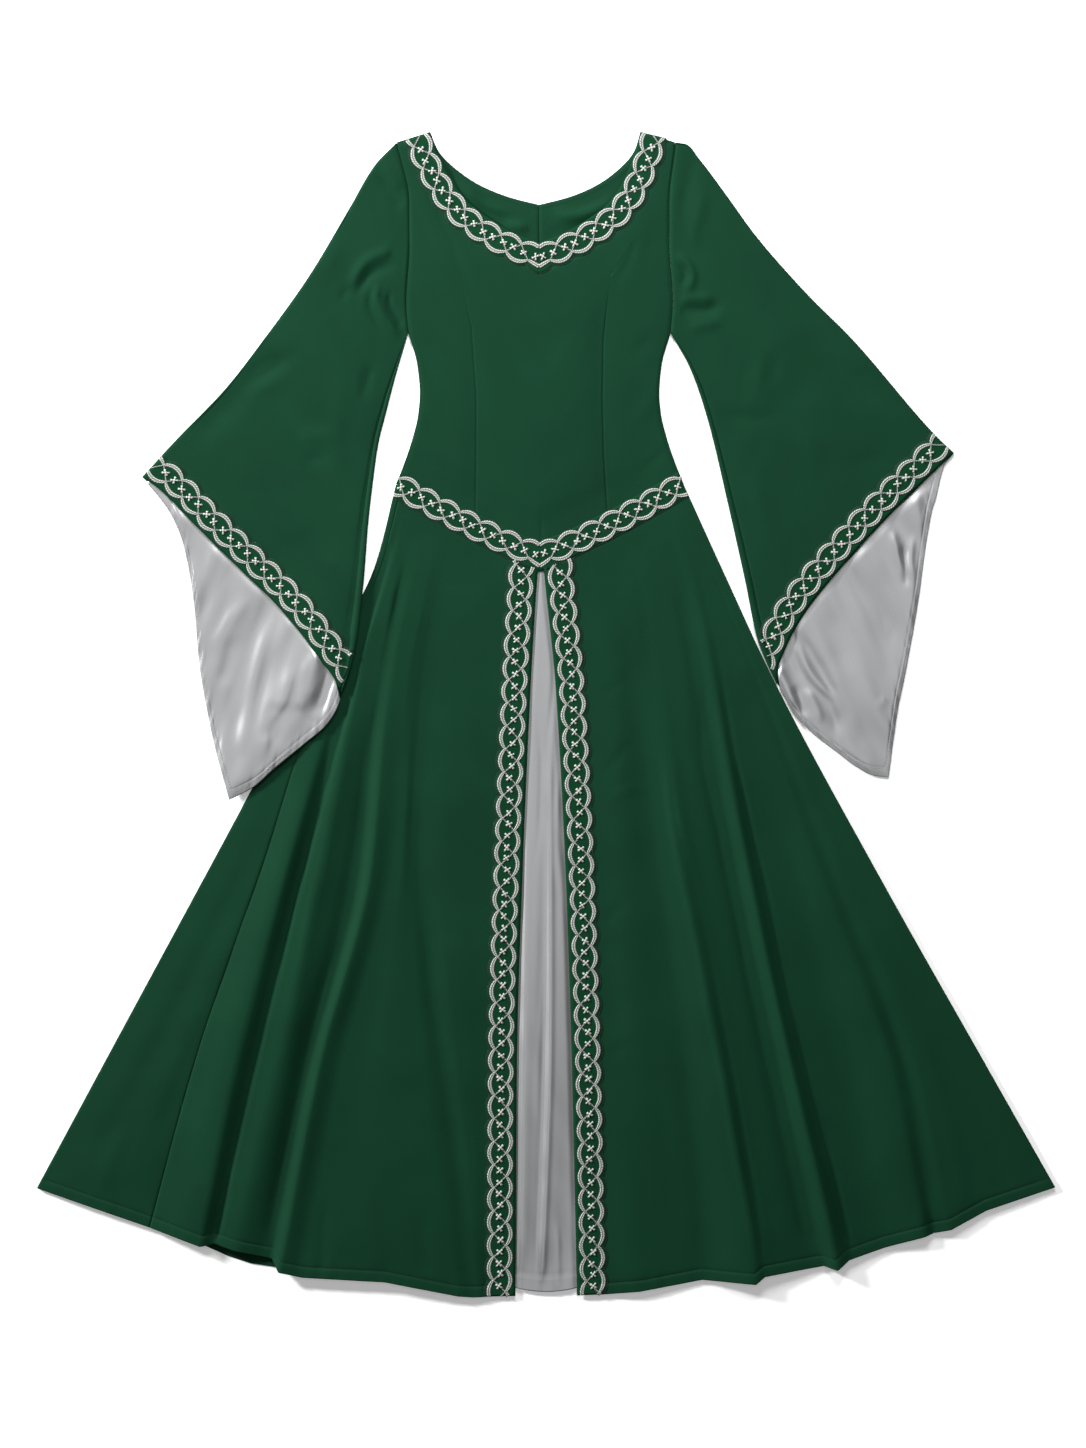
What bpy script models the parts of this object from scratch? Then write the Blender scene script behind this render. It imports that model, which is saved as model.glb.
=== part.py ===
# A long dress with bell sleeves and an open front skirt, laid flat on its back.
# Every panel is a thin wall of cloth around a grid of points. The tables and constants are in
# millimetres: +X to the right, +Y towards the neck, +Z up from the surface that the dress lies on.

from collections import namedtuple

import bmesh
import bpy
import numpy as np

MM = 0.001                  # metres in a millimetre

CLOTH = 1.2                 # wall of the green cloth
SATIN = 1.0                 # wall of the silver satin
RIBBON = 1.0                # wall of an embroidered ribbon
RIBBON_WIDTH = 34.0
GREEN_COLOUR = (0.012, 0.067, 0.033)
SILVER_COLOUR = (0.50, 0.50, 0.50)
RIBBON_COLOUR = (0.012, 0.060, 0.028)
SEAM_GAP = 0.3              # between two panels along a seam
LAYER_GAP = 0.6             # between two layers that lie on each other
RIBBON_GAP = 0.4            # between a ribbon and the panel that it is sewn on
WAIST_SEAM_GAP = 0.8        # between bodice and skirt, under the waist ribbon

# Heights of the middle of each layer above the floor
BACK_Z = CLOTH / 2
SATIN_Z = CLOTH + LAYER_GAP + SATIN / 2
FRONT_Z = SATIN_Z + SATIN / 2 + LAYER_GAP + CLOTH / 2
SIDE_Z = FRONT_Z - CLOTH - SEAM_GAP          # a back panel's side edge, drawn up to the front panel
ON_PANEL = CLOTH / 2 + RIBBON_GAP + RIBBON / 2

BEND_RADIUS = (FRONT_Z - BACK_Z) / 2         # cloth folded over at an edge
BEND_INSET = BEND_RADIUS + CLOTH / 2         # from the outline to the bend's centre
BEND_ANGLES = np.radians([-90, -30, 30, 90])
SIDE_STRIP = 5.0                             # width of a back panel's drawn-up edge

# The bodice's half outline: distance from the centre line, and height up the dress
NECK_TOP = (136.5, 757.0)
SHOULDER_TIP = (180.5, 743.5)
UNDERARM = (170.3, 496.0)
WAIST_SIDE = (186.8, 299.7)
ARMHOLE = [SHOULDER_TIP, (169.0, 669.0), (168.7, 617.0), (173.5, 539.0), UNDERARM]
BODICE_SIDE = [UNDERARM, (158.6, 454.0), (155.4, 417.0), (157.6, 391.0), (166.0, 356.0),
               (180.4, 315.0), WAIST_SIDE]
FRONT_NECK = [NECK_TOP, (130.0, 735.0), (119.0, 709.0), (106.0, 684.5), (88.0, 662.5),
              (66.0, 645.5), (42.5, 631.0), (20.0, 620.5), (0.0, 612.5)]
BACK_NECK = [NECK_TOP, (127.4, 732.6), (104.0, 707.2), (72.0, 685.8), (36.0, 671.5), (0.0, 662.4)]
CENTRE_LEAN = [(300.0, -8.0), (670.0, -9.0), (757.0, -14.0)]      # height, centre line's X

WAIST_POINT_DROP = 92.0     # the waist's point below its ends
WAIST_CURVE = 1.2           # 1 is a straight V
WAIST_RIBBON_COLUMNS = 26
WAIST_RIBBON_FLARE = 2.6    # the waist ribbon's lower edge is wider than the waist by this much
DART_HALF = 84.0            # a dart's distance from the centre line at the waist
DART_COLUMN = 5             # columns from the front's side to a dart
DART_TOP = 560.0            # height where a dart runs out
DART_FADE = 60.0            # length over which it does
DART_FOOT = 24.0            # above the waist's line, where it begins
DART_FOOT_FADE = 10.0
DART_DEPTH = 0.9
BODICE_PUFF = 3.0           # how far the front stands off the back at its fullest
NECK_HALF_COLUMNS = 12
BODICE_BACK_COLUMNS = 9
SHOULDER_POINTS = 2
ARMHOLE_POINTS = 9
BODICE_SIDE_POINTS = 8
SLEEVE_PUFF = [(0.0, 0.0), (0.15, 1.6), (0.5, 3.0), (0.85, 2.2), (1.0, 1.4)]     # share of length, rise

# One row for each line that runs down a skirt panel: X at the waist, at the four heights of
# SKIRT_LEVELS and at the hem, the hem's height, and how far the line stands above the flat front
# at the second, third and fourth level and at the hem
SKIRT_LEVELS = [190.0, 40.0, -200.0, -450.0]
Line = namedtuple("Line", "name waist x1 x2 x3 x4 hem hem_y rise2 rise3 rise4 rise_hem steps")

LEFT_OUTLINE = Line("outline", -195.2, -223.6, -308.4, -438.0, -573.0, -661.7, -614.9, 0, 0, 0, 0, 1)
GORE_MIDDLE = Line("gore middle", -190.6, -219.0, -299.0, -403.0, -512.0, -588.0, -644.0,
                   0.0, 1.5, 2.5, 2.5, 1)
SIDE_SEAM = Line("side seam", -188.0, -215.4, -290.2, -370.0, -456.0, -514.8, -666.3,
                 0.0, 1.5, 2.0, 2.0, 1)
LEFT_PANEL = [
    SIDE_SEAM,
    Line("outer fold", -185.0, -212.4, -266.5, -337.0, -412.0, -448.0, -691.5, 0.3, 8.0, 11.0, 10.0, 2),
    Line("outer valley", -181.0, -207.9, -257.4, -319.0, -384.0, -433.5, -687.0, 0, 0, 0, 0, 2),
    Line("middle fold", -174.0, -193.7, -234.0, -299.0, -354.0, -398.0, -702.7, 3.5, 7.0, 8.5, 7.5, 2),
    Line("inner valley", -162.5, -182.0, -218.4, -256.0, -303.5, -355.0, -707.0, 1.0, 0, 0, 0, 2),
    Line("front fold", -150.8, -170.3, -205.4, -243.0, -295.0, -348.5, -724.1, 4.0, 9.5, 11.5, 11.0, 2),
    Line("front fold shoulder", -137.8, -153.4, -187.2, -218.4, -270.0, -319.8, -730.9,
         3.8, 9.0, 10.8, 10.2, 2),
    Line("panel middle", -128.0, -143.0, -174.2, -200.2, -215.8, -209.3, -737.1, 3.0, 6.5, 7.5, 6.5, 2),
    Line("soft fold", -118.3, -132.6, -161.2, -183.3, -158.6, -114.4, -755.5, 1.5, 3.5, 5.0, 5.0, 1),
    Line("soft valley", -107.9, -118.3, -141.7, -163.8, -133.9, -96.2, -757.0, 1.0, 2.0, 2.6, 2.6, 1),
    Line("inner soft fold", -92.3, -101.4, -115.7, -133.9, -111.8, -84.5, -756.6, 1.0, 2.5, 3.0, 2.6, 1),
    Line("ribbon edge", -45.5, -47.8, -54.2, -64.7, -72.2, -75.0, -756.3, 0, 0, 0, 0, 2),
    Line("front edge", -11.0, -12.4, -19.8, -30.3, -37.7, -39.7, -755.4, 0, 0, 0, 0, 2),
]
RIGHT_PANEL = [
    Line("front edge", -1.3, -0.3, 12.4, 25.4, 33.8, 40.3, -754.7, 0, 0, 0, 0, 1),
    Line("ribbon edge", 33.2, 34.8, 46.8, 59.8, 68.3, 75.4, -753.4, 0, 0, 0, 0, 2),
    Line("inner soft fold", 57.2, 67.6, 84.5, 104.0, 114.4, 122.2, -749.5, 1.5, 2.5, 3.0, 3.0, 2),
    Line("soft valley", 83.2, 98.8, 117.0, 143.0, 175.5, 202.8, -734.5, 0.5, 0.5, 0, 0, 1),
    Line("first fold", 106.6, 126.1, 149.5, 182.8, 226.9, 272.3, -739.7, 1.5, 5.0, 8.5, 10.0, 2),
    Line("first valley", 114.4, 135.2, 161.2, 197.6, 240.5, 284.1, -730.0, 1.0, 0.5, 0, 0, 2),
    Line("valley floor", 128.7, 153.4, 185.9, 223.6, 269.1, 317.2, -723.5, 0.5, 0, 0, 0, 1),
    Line("roll foot", 139.1, 172.9, 204.1, 244.4, 297.7, 353.0, -716.3, 1.5, 1.0, 0.5, 0.5, 1),
    Line("roll", 146.9, 187.2, 218.4, 261.3, 314.6, 370.5, -721.5, 3.0, 8.5, 12.5, 13.5, 2),
    Line("roll's far foot", 153.4, 196.3, 228.8, 275.0, 329.6, 386.8, -708.5, 0.5, 0, 0, 0, 2),
    Line("outer panel", 159.9, 204.1, 249.6, 317.2, 382.2, 440.7, -692.3, 0.5, 1.5, 1.0, 1.0, 1),
    Line("outer fold", 165.1, 210.6, 267.8, 353.6, 444.6, 491.4, -678.6, 0.5, 2.5, 4.5, 5.5, 2),
    Line("outer valley", 169.0, 214.5, 275.6, 367.9, 462.8, 503.8, -673.6, 0, 0.5, 1.0, 1.0, 1),
    Line("last fold", 172.9, 218.4, 282.8, 384.8, 482.3, 526.0, -669.5, 0.3, 1.5, 3.0, 4.0, 1),
    Line("rim", 176.0, 222.3, 288.6, 403.0, 520.0, 572.0, -644.5, 0, 0.5, 1.0, 1.5, 1),
    Line("outline", 178.8, 226.9, 295.8, 426.4, 568.5, 661.7, -614.3, 0, 0, 0, 0, 1),
]
SKIRT_ROWS = 20
FOLDS_START = 26.0          # below the waist's line; above it the skirt is flat under its ribbon
FOLDS_GROW = 60.0           # length over which the folds grow there
FOLDS_TOP = 300.0           # height where a fold's rise is nothing
LEVEL_CLEAR = 12.0          # a level this close to the waist's line is left out

# The back panel's hem, which shows only in the left panel's outer valley
BACK_HEM = [(-661.7, -614.9), (-612.0, -633.0), (-525.0, -659.0), (-450.0, -688.0), (-432.0, -694.5),
            (-405.0, -707.5), (-388.0, -712.5), (-356.0, -718.0), (-320.0, -719.0), (-112.0, -742.0),
            (0.0, -734.0), (96.0, -739.0), (200.0, -724.0), (284.0, -720.0), (385.0, -698.0),
            (500.0, -664.0), (603.0, -628.0), (661.7, -614.3)]
BACK_COLUMNS = 18

INSET_UNDER = 15.0          # how far the satin runs under each front panel
INSET_COLUMNS = 9
INSET_HEM = (-741.5, -750.0)        # at the panel edges, and at the middle
INSET_CLOSED = 20.0         # the pleats begin where the opening is this wide
INSET_GROW = 30.0
INSET_PLEATS = [(0.30, 1.4, 0.09), (0.62, 1.8, 0.08)]     # place across the opening, rise, half width

# Each sleeve: its outer fold from the shoulder to the cuff's tip, its underarm edge, the slanted
# front hem, and the longer back hem in two runs that meet at the hanging corner
Sleeve = namedtuple("Sleeve", "side outer inner hem ribbon_top back_hem seam_width")
LEFT_SLEEVE = Sleeve(
    side=-1,
    outer=[(-222.3, 714.4), (-256.1, 657.2), (-308.1, 570.1), (-366.6, 488.2), (-416.0, 424.5),
           (-482.3, 355.6), (-525.2, 308.8)],
    inner=[(-193.4, 447.9), (-207.0, 395.9), (-218.4, 349.1), (-225.5, 297.1), (-230.7, 250.3),
           (-236.6, 174.9), (-245.7, 96.9), (-254.8, 57.9), (-265.2, 29.3)],
    hem=[(-525.2, 308.8), (-501.8, 292.0), (-449.8, 239.9), (-387.4, 178.8), (-356.2, 148.9),
         (-314.6, 100.8), (-293.8, 72.2), (-278.2, 51.4), (-265.2, 29.3)],
    ribbon_top=[(-499.9, 335.4), (-473.9, 313.3), (-431.0, 271.7), (-386.8, 232.7), (-343.9, 193.7),
                (-314.0, 163.8), (-282.8, 128.7), (-263.0, 97.0)],
    back_hem=[[(-525.2, 308.8), (-500.5, 280.2), (-483.6, 254.2), (-470.6, 220.4), (-457.6, 150.2),
               (-450.5, 70.9), (-434.2, -21.5), (-410.8, -109.9)],
              [(-410.8, -109.9), (-380.9, -94.3), (-354.9, -71.5), (-314.6, -38.4), (-284.7, -12.4),
               (-271.7, 8.5), (-265.2, 29.3)]],
    seam_width=13.0)
RIGHT_SLEEVE = Sleeve(
    side=1,
    outer=[(181.0, 742.0), (200.2, 720.9), (235.3, 674.0), (273.0, 622.0), (339.3, 546.7),
           (397.8, 488.2), (508.3, 360.8), (530.4, 340.0)],
    inner=[(188.5, 447.9), (211.9, 377.7), (235.3, 279.5), (258.7, 174.9), (274.5, 99.5),
           (290.5, 59.2), (300.0, 39.7)],
    hem=[(530.4, 340.0), (501.8, 312.7), (460.2, 272.4), (418.6, 229.5), (377.0, 182.7),
         (345.8, 145.0), (325.0, 113.8), (309.4, 81.3), (301.6, 60.5), (300.0, 39.7)],
    ribbon_top=[(508.3, 358.8), (462.2, 328.9), (423.2, 287.3), (380.3, 232.7), (337.4, 185.9),
                (315.3, 154.7), (298.4, 133.9), (282.8, 102.1)],
    back_hem=[[(530.4, 340.0), (517.4, 324.4), (507.0, 284.1), (500.5, 262.0), (491.4, 207.4),
               (484.9, 158.0), (466.1, 51.4), (457.6, 11.1), (444.6, -81.3)],
              [(444.6, -81.3), (425.1, -78.7), (404.3, -68.3), (378.3, -48.8), (351.0, -28.0),
               (330.5, -8.5), (322.5, 1.3), (307.5, 28.0), (300.0, 39.7)]],
    seam_width=14.0)
SLEEVE_ROWS = 13
SEAM_TAPER = (0.06, 4.0)    # the strip's share of its width at the armhole, and how it grows; 1 is whole
SEAM_TAPER_END = [[0.55], [0.1]]     # beside the ribbon, down to the corner
RIBBON_ROWS = 2
HEM_SPLIT = 0.62            # share of the back hem's columns before its hanging corner
LINING_UNDER = 24.0         # how far the lining runs up under the front hem
LINING_INSET = 14.0         # from both ends of the back hem
LINING_TAPER = 90.0         # length over which the part under the front hem narrows
LINING_COLUMNS = 13
LINING_ROWS = 9
HEM_POINTS = (60, 40)       # on the back hem's two runs
FRONT_HEM_POINTS = 80
FRONT_HEM_ENDS = (4, -5)    # those left out at its ends
SLEEVE_LIFT = 6.6           # the left sleeve climbs onto the skirt's edge by this much
LIFT_START = -130.0         # from the skirt's outline, outside it
LIFT_END = -6.0
LIFT_TOP = 430.0            # height up the dress where the sleeve begins to leave the floor
LIFT_FULL = 200.0

MIDDLE = (0.24, 0.10, 0.0)  # middle of the dress's outline in the tables' frame


def smooth(knots, values, at):
    # A monotone cubic through the points: it never swings past them
    knots = np.asarray(knots, float)
    values = np.asarray(values, float)
    step = np.diff(knots)
    slope = np.diff(values) / step
    tangent = np.zeros(len(knots))
    tangent[0] = slope[0]
    tangent[-1] = slope[-1]
    for i in range(1, len(knots) - 1):
        before = slope[i - 1]
        after = slope[i]
        if before * after > 0:
            tangent[i] = 2 * before * after / (before + after)
    cell = np.clip(np.searchsorted(knots, at, side="right") - 1, 0, len(step) - 1)
    width = step[cell]
    t = (at - knots[cell]) / width
    return ((1 + 2 * t) * (1 - t) ** 2 * values[cell] + t * (1 - t) ** 2 * width * tangent[cell]
            + t * t * (3 - 2 * t) * values[cell + 1] - t * t * (1 - t) * width * tangent[cell + 1])


def ease(value):
    value = np.clip(value, 0.0, 1.0)
    return value * value * (3 - 2 * value)


def distances(points):
    steps = np.linalg.norm(np.diff(points, axis=0), axis=1)
    return np.concatenate([[0.0], np.cumsum(steps)])


def along(points, count):
    # Evenly spaced points on a smooth curve through the given ones
    points = np.asarray(points, float)
    chord = distances(points)
    fine_at = np.linspace(0, chord[-1], 400)
    fine = np.column_stack([smooth(chord, points[:, 0], fine_at), smooth(chord, points[:, 1], fine_at)])
    length = distances(fine)
    at = np.linspace(0, length[-1], count)
    return np.column_stack([np.interp(at, length, fine[:, 0]), np.interp(at, length, fine[:, 1])])


def joined(*runs):
    # Runs of points end to end, without the doubled ones
    return np.concatenate([runs[0]] + [run[1:] for run in runs[1:]])


def shares(first, second):
    # The mean share of the length at each point of two opposite sides
    first = distances(first)
    second = distances(second)
    return (first / first[-1] + second / second[-1]) / 2


def patch(top, bottom, left, right):
    # A panel between four sides; rows run from top to bottom and columns from left to right
    u = shares(top, bottom)[None, :, None]
    v = shares(left, right)[:, None, None]
    across = (1 - u) * left[:, None] + u * right[:, None]
    down = (1 - v) * top[None] + v * bottom[None]
    corners = ((1 - u) * (1 - v) * top[0] + u * (1 - v) * top[-1]
               + (1 - u) * v * bottom[0] + u * v * bottom[-1])
    return across + down - corners


def offset(points, width):
    # The curve moved sideways, to the right of its direction, with mitred corners
    step = np.diff(points, axis=0)
    step /= np.linalg.norm(step, axis=1)[:, None]
    side = np.column_stack([step[:, 1], -step[:, 0]])
    before = np.concatenate([side[:1], side])
    after = np.concatenate([side, side[-1:]])
    middle = before + after
    middle /= np.sum(middle * before, axis=1)[:, None]
    return points + width * middle


def centre_x(height):
    heights, places = zip(*CENTRE_LEAN)
    return np.interp(height, heights, places)


def placed(points, side):
    # Half outline points on one side of the leaning centre line
    points = np.asarray(points, float)
    return np.column_stack([centre_x(points[:, 1]) + side * points[:, 0], points[:, 1]])


def waist_y(x):
    share = np.abs(x - centre_x(WAIST_SIDE[1])) / WAIST_SIDE[0]
    return WAIST_SIDE[1] - WAIST_POINT_DROP * (1 - np.minimum(share, 1.0) ** WAIST_CURVE)


def raised(flat, height):
    # Heights added to a grid of places
    return np.dstack([flat, np.broadcast_to(height, flat.shape[:2])])


def cloth_material(name, colour, roughness, sheen=0.0):
    material = bpy.data.materials.new(name)
    material.use_nodes = True
    shader = material.node_tree.nodes["Principled BSDF"]
    shader.inputs["Base Color"].default_value = (*colour, 1.0)
    shader.inputs["Roughness"].default_value = roughness
    shader.inputs["Metallic"].default_value = 0.0
    shader.inputs["Sheen Weight"].default_value = sheen
    return material


def panel(name, grid, thickness, colour, roughness, sheen=0.0):
    # A wall of cloth around a grid of middle points
    rows, columns = grid.shape[:2]
    shape = bmesh.new()
    bmesh.ops.create_grid(shape, x_segments=columns - 1, y_segments=rows - 1, size=1.0)
    shape.verts.ensure_lookup_table()
    for vertex, place in zip(shape.verts, grid.reshape(-1, 3)):
        vertex.co = (place - MIDDLE) * MM
    bmesh.ops.triangulate(shape, faces=shape.faces[:], quad_method='FIXED')
    mesh = bpy.data.meshes.new(name)
    shape.to_mesh(mesh)
    shape.free()
    mesh.shade_smooth()
    piece = bpy.data.objects.new(name, mesh)
    bpy.context.scene.collection.objects.link(piece)
    mesh.materials.append(cloth_material(name, colour, roughness, sheen))
    wall = piece.modifiers.new("wall", 'SOLIDIFY')
    wall.thickness = thickness * MM
    wall.offset = 0.0
    return piece


def green(name, grid):
    return panel(name, grid, CLOTH, GREEN_COLOUR, 0.6, 0.3)


def silver(name, grid):
    return panel(name, grid, SATIN, SILVER_COLOUR, 0.35, 0.2)


def ribbon(name, grid):
    return panel(name, grid, RIBBON, RIBBON_COLOUR, 0.65)


def edge_normal(points):
    # The unit vector to the right of a curve's direction at each point
    return offset(points, 1.0) - points


# Bodice

def bodice_outline(side, shoulder_from):
    # From the shoulder's inner end round the armhole and down the side; side is -1 or 1
    shoulder = along(placed([shoulder_from, SHOULDER_TIP], side), SHOULDER_POINTS)
    armhole = along(placed(ARMHOLE, side), ARMHOLE_POINTS)
    lower = along(placed(BODICE_SIDE, side), BODICE_SIDE_POINTS)
    return joined(shoulder, armhole, lower)


def make_bodice_front():
    half = np.asarray(along(FRONT_NECK, NECK_HALF_COLUMNS + 1))
    neck = joined(placed(half, -1), placed(half[::-1], 1))
    ribbon_rows = []
    for k in range(RIBBON_ROWS + 1):
        ribbon_rows.append(offset(neck, RIBBON_WIDTH * k / RIBBON_ROWS))
    top = ribbon_rows[-1]
    shoulder_from = (centre_x(top[0, 1]) - top[0, 0], top[0, 1])
    left = bodice_outline(-1, shoulder_from)
    right = bodice_outline(1, shoulder_from)
    left[0] = top[0]
    right[0] = top[-1]
    middle = centre_x(WAIST_SIDE[1])
    spread = np.interp(np.arange(NECK_HALF_COLUMNS + 1), [0, DART_COLUMN, NECK_HALF_COLUMNS],
                       [WAIST_SIDE[0], DART_HALF, 0.0])
    waist_x = np.concatenate([middle - spread, middle + spread[-2::-1]])
    bottom = np.column_stack([waist_x, waist_y(waist_x)])
    body = patch(top, bottom, left, right)
    flat = np.concatenate([np.array(ribbon_rows[:-1]), body])
    rows, columns = flat.shape[:2]
    u = np.linspace(0, 1, columns)[None, :]
    v = np.clip((np.arange(rows) - RIBBON_ROWS) / (rows - 1 - RIBBON_ROWS), 0, 1)[:, None]
    puff = BODICE_PUFF * np.sin(np.pi * u) * np.sin(np.pi * np.minimum(v * 1.08, 1.0)) ** 0.8
    ahead = flat[:, :, 1] - waist_y(flat[:, :, 0])
    puff = puff * ease((ahead - RIBBON_WIDTH) / RIBBON_WIDTH)
    dart = np.zeros((rows, columns))
    dart[:, [DART_COLUMN, columns - 1 - DART_COLUMN]] = DART_DEPTH
    dart = dart * ease((DART_TOP - flat[:, :, 1]) / DART_FADE)
    dart = dart * ease((ahead - DART_FOOT) / DART_FOOT_FADE)
    grid = raised(flat, FRONT_Z + puff - dart)
    green("bodice_front", grid)
    band = grid[:RIBBON_ROWS + 1].copy()
    band[:, :, 2] += ON_PANEL
    ribbon("trim_neck", band)


def make_bodice_back(name, side):
    columns = BODICE_BACK_COLUMNS
    neck = along(placed(BACK_NECK, side), columns)
    neck[-1, 0] += side * SEAM_GAP / 2
    outer = bodice_outline(side, NECK_TOP)
    drawn_up = np.ones(len(outer))
    drawn_up[SHOULDER_POINTS:SHOULDER_POINTS + ARMHOLE_POINTS - 1] = 0.0
    inner_end = centre_x(WAIST_SIDE[1]) + side * SEAM_GAP / 2
    centre = along([neck[-1], (inner_end, WAIST_SIDE[1])], len(outer))
    bottom = along([outer[-1], centre[-1]], columns)
    flat = patch(neck, bottom, outer, centre)
    inward = flat[:, 1] - flat[:, 0]
    inward /= np.linalg.norm(inward, axis=1)[:, None]
    strip = flat[:, :1] + SIDE_STRIP * inward[:, None]
    flat = np.concatenate([flat[:, :1], strip, flat[:, 1:]], axis=1)
    height = np.full(flat.shape[:2], BACK_Z)
    height[:, 0] += drawn_up * (SIDE_Z - BACK_Z)
    green(name, raised(flat, height))


# Skirt

def line_points(line, rows):
    # A skirt line from the waist to the hem: places and heights
    top_y = waist_y(line.waist) - WAIST_SEAM_GAP
    heights = [line.hem_y, top_y]
    places = [line.hem, line.waist]
    for level, place in zip(SKIRT_LEVELS, (line.x1, line.x2, line.x3, line.x4)):
        if level < top_y - LEVEL_CLEAR:
            heights.insert(1, level)
            places.insert(1, place)
    order = np.argsort(heights)
    heights = np.array(heights)[order]
    places = np.array(places)[order]
    ribbon_y = waist_y(line.waist) - ribbon_reach(line.waist) - RIBBON_GAP
    below = ribbon_y + (line.hem_y - ribbon_y) * np.linspace(0, 1, rows - 1)
    y = np.concatenate([[top_y], below])
    x = smooth(heights, places, y)
    rise_at = np.array([line.hem_y, SKIRT_LEVELS[3], SKIRT_LEVELS[2], SKIRT_LEVELS[1], FOLDS_TOP])
    rise = smooth(rise_at, [line.rise_hem, line.rise4, line.rise3, line.rise2, 0.0], y)
    rise = rise * ease((waist_y(line.waist) - FOLDS_START - y) / FOLDS_GROW)
    return np.column_stack([x, y, rise])


def skirt_grid(lines, rows):
    # Points across a skirt panel: its lines, with smooth steps between them
    down = np.array([line_points(line, rows) for line in lines])
    grid = []
    for r in range(rows):
        knots = down[:, r, 0]
        x = [knots[0]]
        y = [down[0, r, 1]]
        for i in range(1, len(lines)):
            share = np.arange(1, lines[i].steps + 1) / lines[i].steps
            x.extend(knots[i - 1] + share * (knots[i] - knots[i - 1]))
            y.extend(down[i - 1, r, 1] + share * (down[i, r, 1] - down[i - 1, r, 1]))
        x = np.array(x)
        grid.append(np.column_stack([x, y, FRONT_Z + smooth(knots, down[:, r, 2], x)]))
    return np.array(grid)


def ribbon_reach(x):
    # Half the waist ribbon's width, measured straight down where it slants
    step = 1.0
    slope = (waist_y(x + step) - waist_y(x)) / step
    steepest = np.where(np.abs(x - centre_x(WAIST_SIDE[1])) < 2 * step, 0.45, slope)
    return RIBBON_WIDTH / 2 * np.sqrt(1 + steepest ** 2)


def make_front_ribbon(name, grid):
    band = grid[1:].copy()
    band[:, :, 2] += ON_PANEL
    ribbon(name, band)


def make_skirt_fronts():
    left = skirt_grid(LEFT_PANEL, SKIRT_ROWS)
    left[:, 0, 0] += SEAM_GAP
    green("skirt_front_left", left)
    make_front_ribbon("trim_front_left", left[:, -1 - LEFT_PANEL[-1].steps:])
    right = skirt_grid(RIGHT_PANEL, SKIRT_ROWS)
    green("skirt_front_right", right)
    make_front_ribbon("trim_front_right", right[:, :1 + RIGHT_PANEL[1].steps])


def make_skirt_back():
    rows = SKIRT_ROWS
    left = line_points(LEFT_OUTLINE, rows)[:, :2]
    right = line_points(RIGHT_PANEL[-1], rows)[:, :2]
    outward = edge_normal(left)
    bend_centre = left - BEND_INSET * outward
    share = np.linspace(0, 1, BACK_COLUMNS)
    hem_x = (1 - share) * bend_centre[-1, 0] + share * right[-1, 0]
    hem_places, hem_heights = zip(*BACK_HEM)
    bottom = np.column_stack([hem_x, smooth(hem_places, hem_heights, hem_x)])
    bottom[0] = bend_centre[-1]
    bottom[-1] = right[-1]
    top = along([bend_centre[0], right[0]], BACK_COLUMNS)
    flat = patch(top, bottom, bend_centre, right)
    strip = flat[:, -1:] - [SIDE_STRIP, 0.0]
    flat = np.concatenate([flat[:, :-1], strip, flat[:, -1:]], axis=1)
    height = np.full(flat.shape[:2], BACK_Z)
    height[:, -1] = SIDE_Z
    floor = raised(flat, height)[:, ::-1]
    bend = []
    for angle in BEND_ANGLES[1:]:
        place = bend_centre + BEND_RADIUS * np.cos(angle) * outward
        tall = np.full((rows, 1), (BACK_Z + FRONT_Z) / 2 + BEND_RADIUS * np.sin(angle))
        bend.append(np.hstack([place, tall]))
    bend = np.stack(bend, axis=1)
    gore = skirt_grid([LEFT_OUTLINE, GORE_MIDDLE, SIDE_SEAM], rows)[:, 1:]
    green("skirt_back", np.concatenate([floor, bend, gore], axis=1))


def make_inset():
    rows = SKIRT_ROWS
    left = line_points(LEFT_PANEL[-1], rows)[1:, :2]
    right = line_points(RIGHT_PANEL[0], rows)[1:, :2]
    columns = np.linspace(0, 1, INSET_COLUMNS)
    grid = []
    for edge_left, edge_right in zip(left, right):
        start = edge_left[0] - INSET_UNDER
        end = edge_right[0] + INSET_UNDER
        x = start + columns * (end - start)
        open_share = (x - edge_left[0]) / (edge_right[0] - edge_left[0])
        rise = sum(tall * np.exp(-((open_share - at) / wide) ** 2) for at, tall, wide in INSET_PLEATS)
        rise = rise * ease((edge_right[0] - edge_left[0] - INSET_CLOSED) / INSET_GROW)
        down = (edge_left[1] - left[0, 1]) / (left[-1, 1] - left[0, 1])
        sag = np.sin(np.pi * columns)
        hem = INSET_HEM[0] + (INSET_HEM[1] - INSET_HEM[0]) * sag
        y = left[0, 1] + down * (hem - left[0, 1])
        grid.append(np.column_stack([x, y, SATIN_Z + rise]))
    silver("skirt_inset", np.array(grid))


def make_waist_ribbon():
    middle = centre_x(WAIST_SIDE[1])
    share = np.linspace(-1, 1, WAIST_RIBBON_COLUMNS + 1)
    side_heights = [y for _, y in BODICE_SIDE][::-1]
    side_halves = [half for half, _ in BODICE_SIDE][::-1]
    rows = []
    for k in (1, 0, -1):
        height = WAIST_SIDE[1] + k * RIBBON_WIDTH / 2
        if k >= 0:
            half = np.interp(height, side_heights, side_halves)
        else:
            half = WAIST_SIDE[0] + WAIST_RIBBON_FLARE
        x = middle + share * half
        y = waist_y(x) + k * ribbon_reach(x)
        rows.append(np.column_stack([x, y, np.full(len(x), FRONT_Z + ON_PANEL)]))
    ribbon("trim_waist", np.array(rows))


# Sleeves

def skirt_edge_x(y):
    points = line_points(LEFT_OUTLINE, 40)[::-1]
    return np.interp(y, points[:, 1], points[:, 0])


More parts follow.
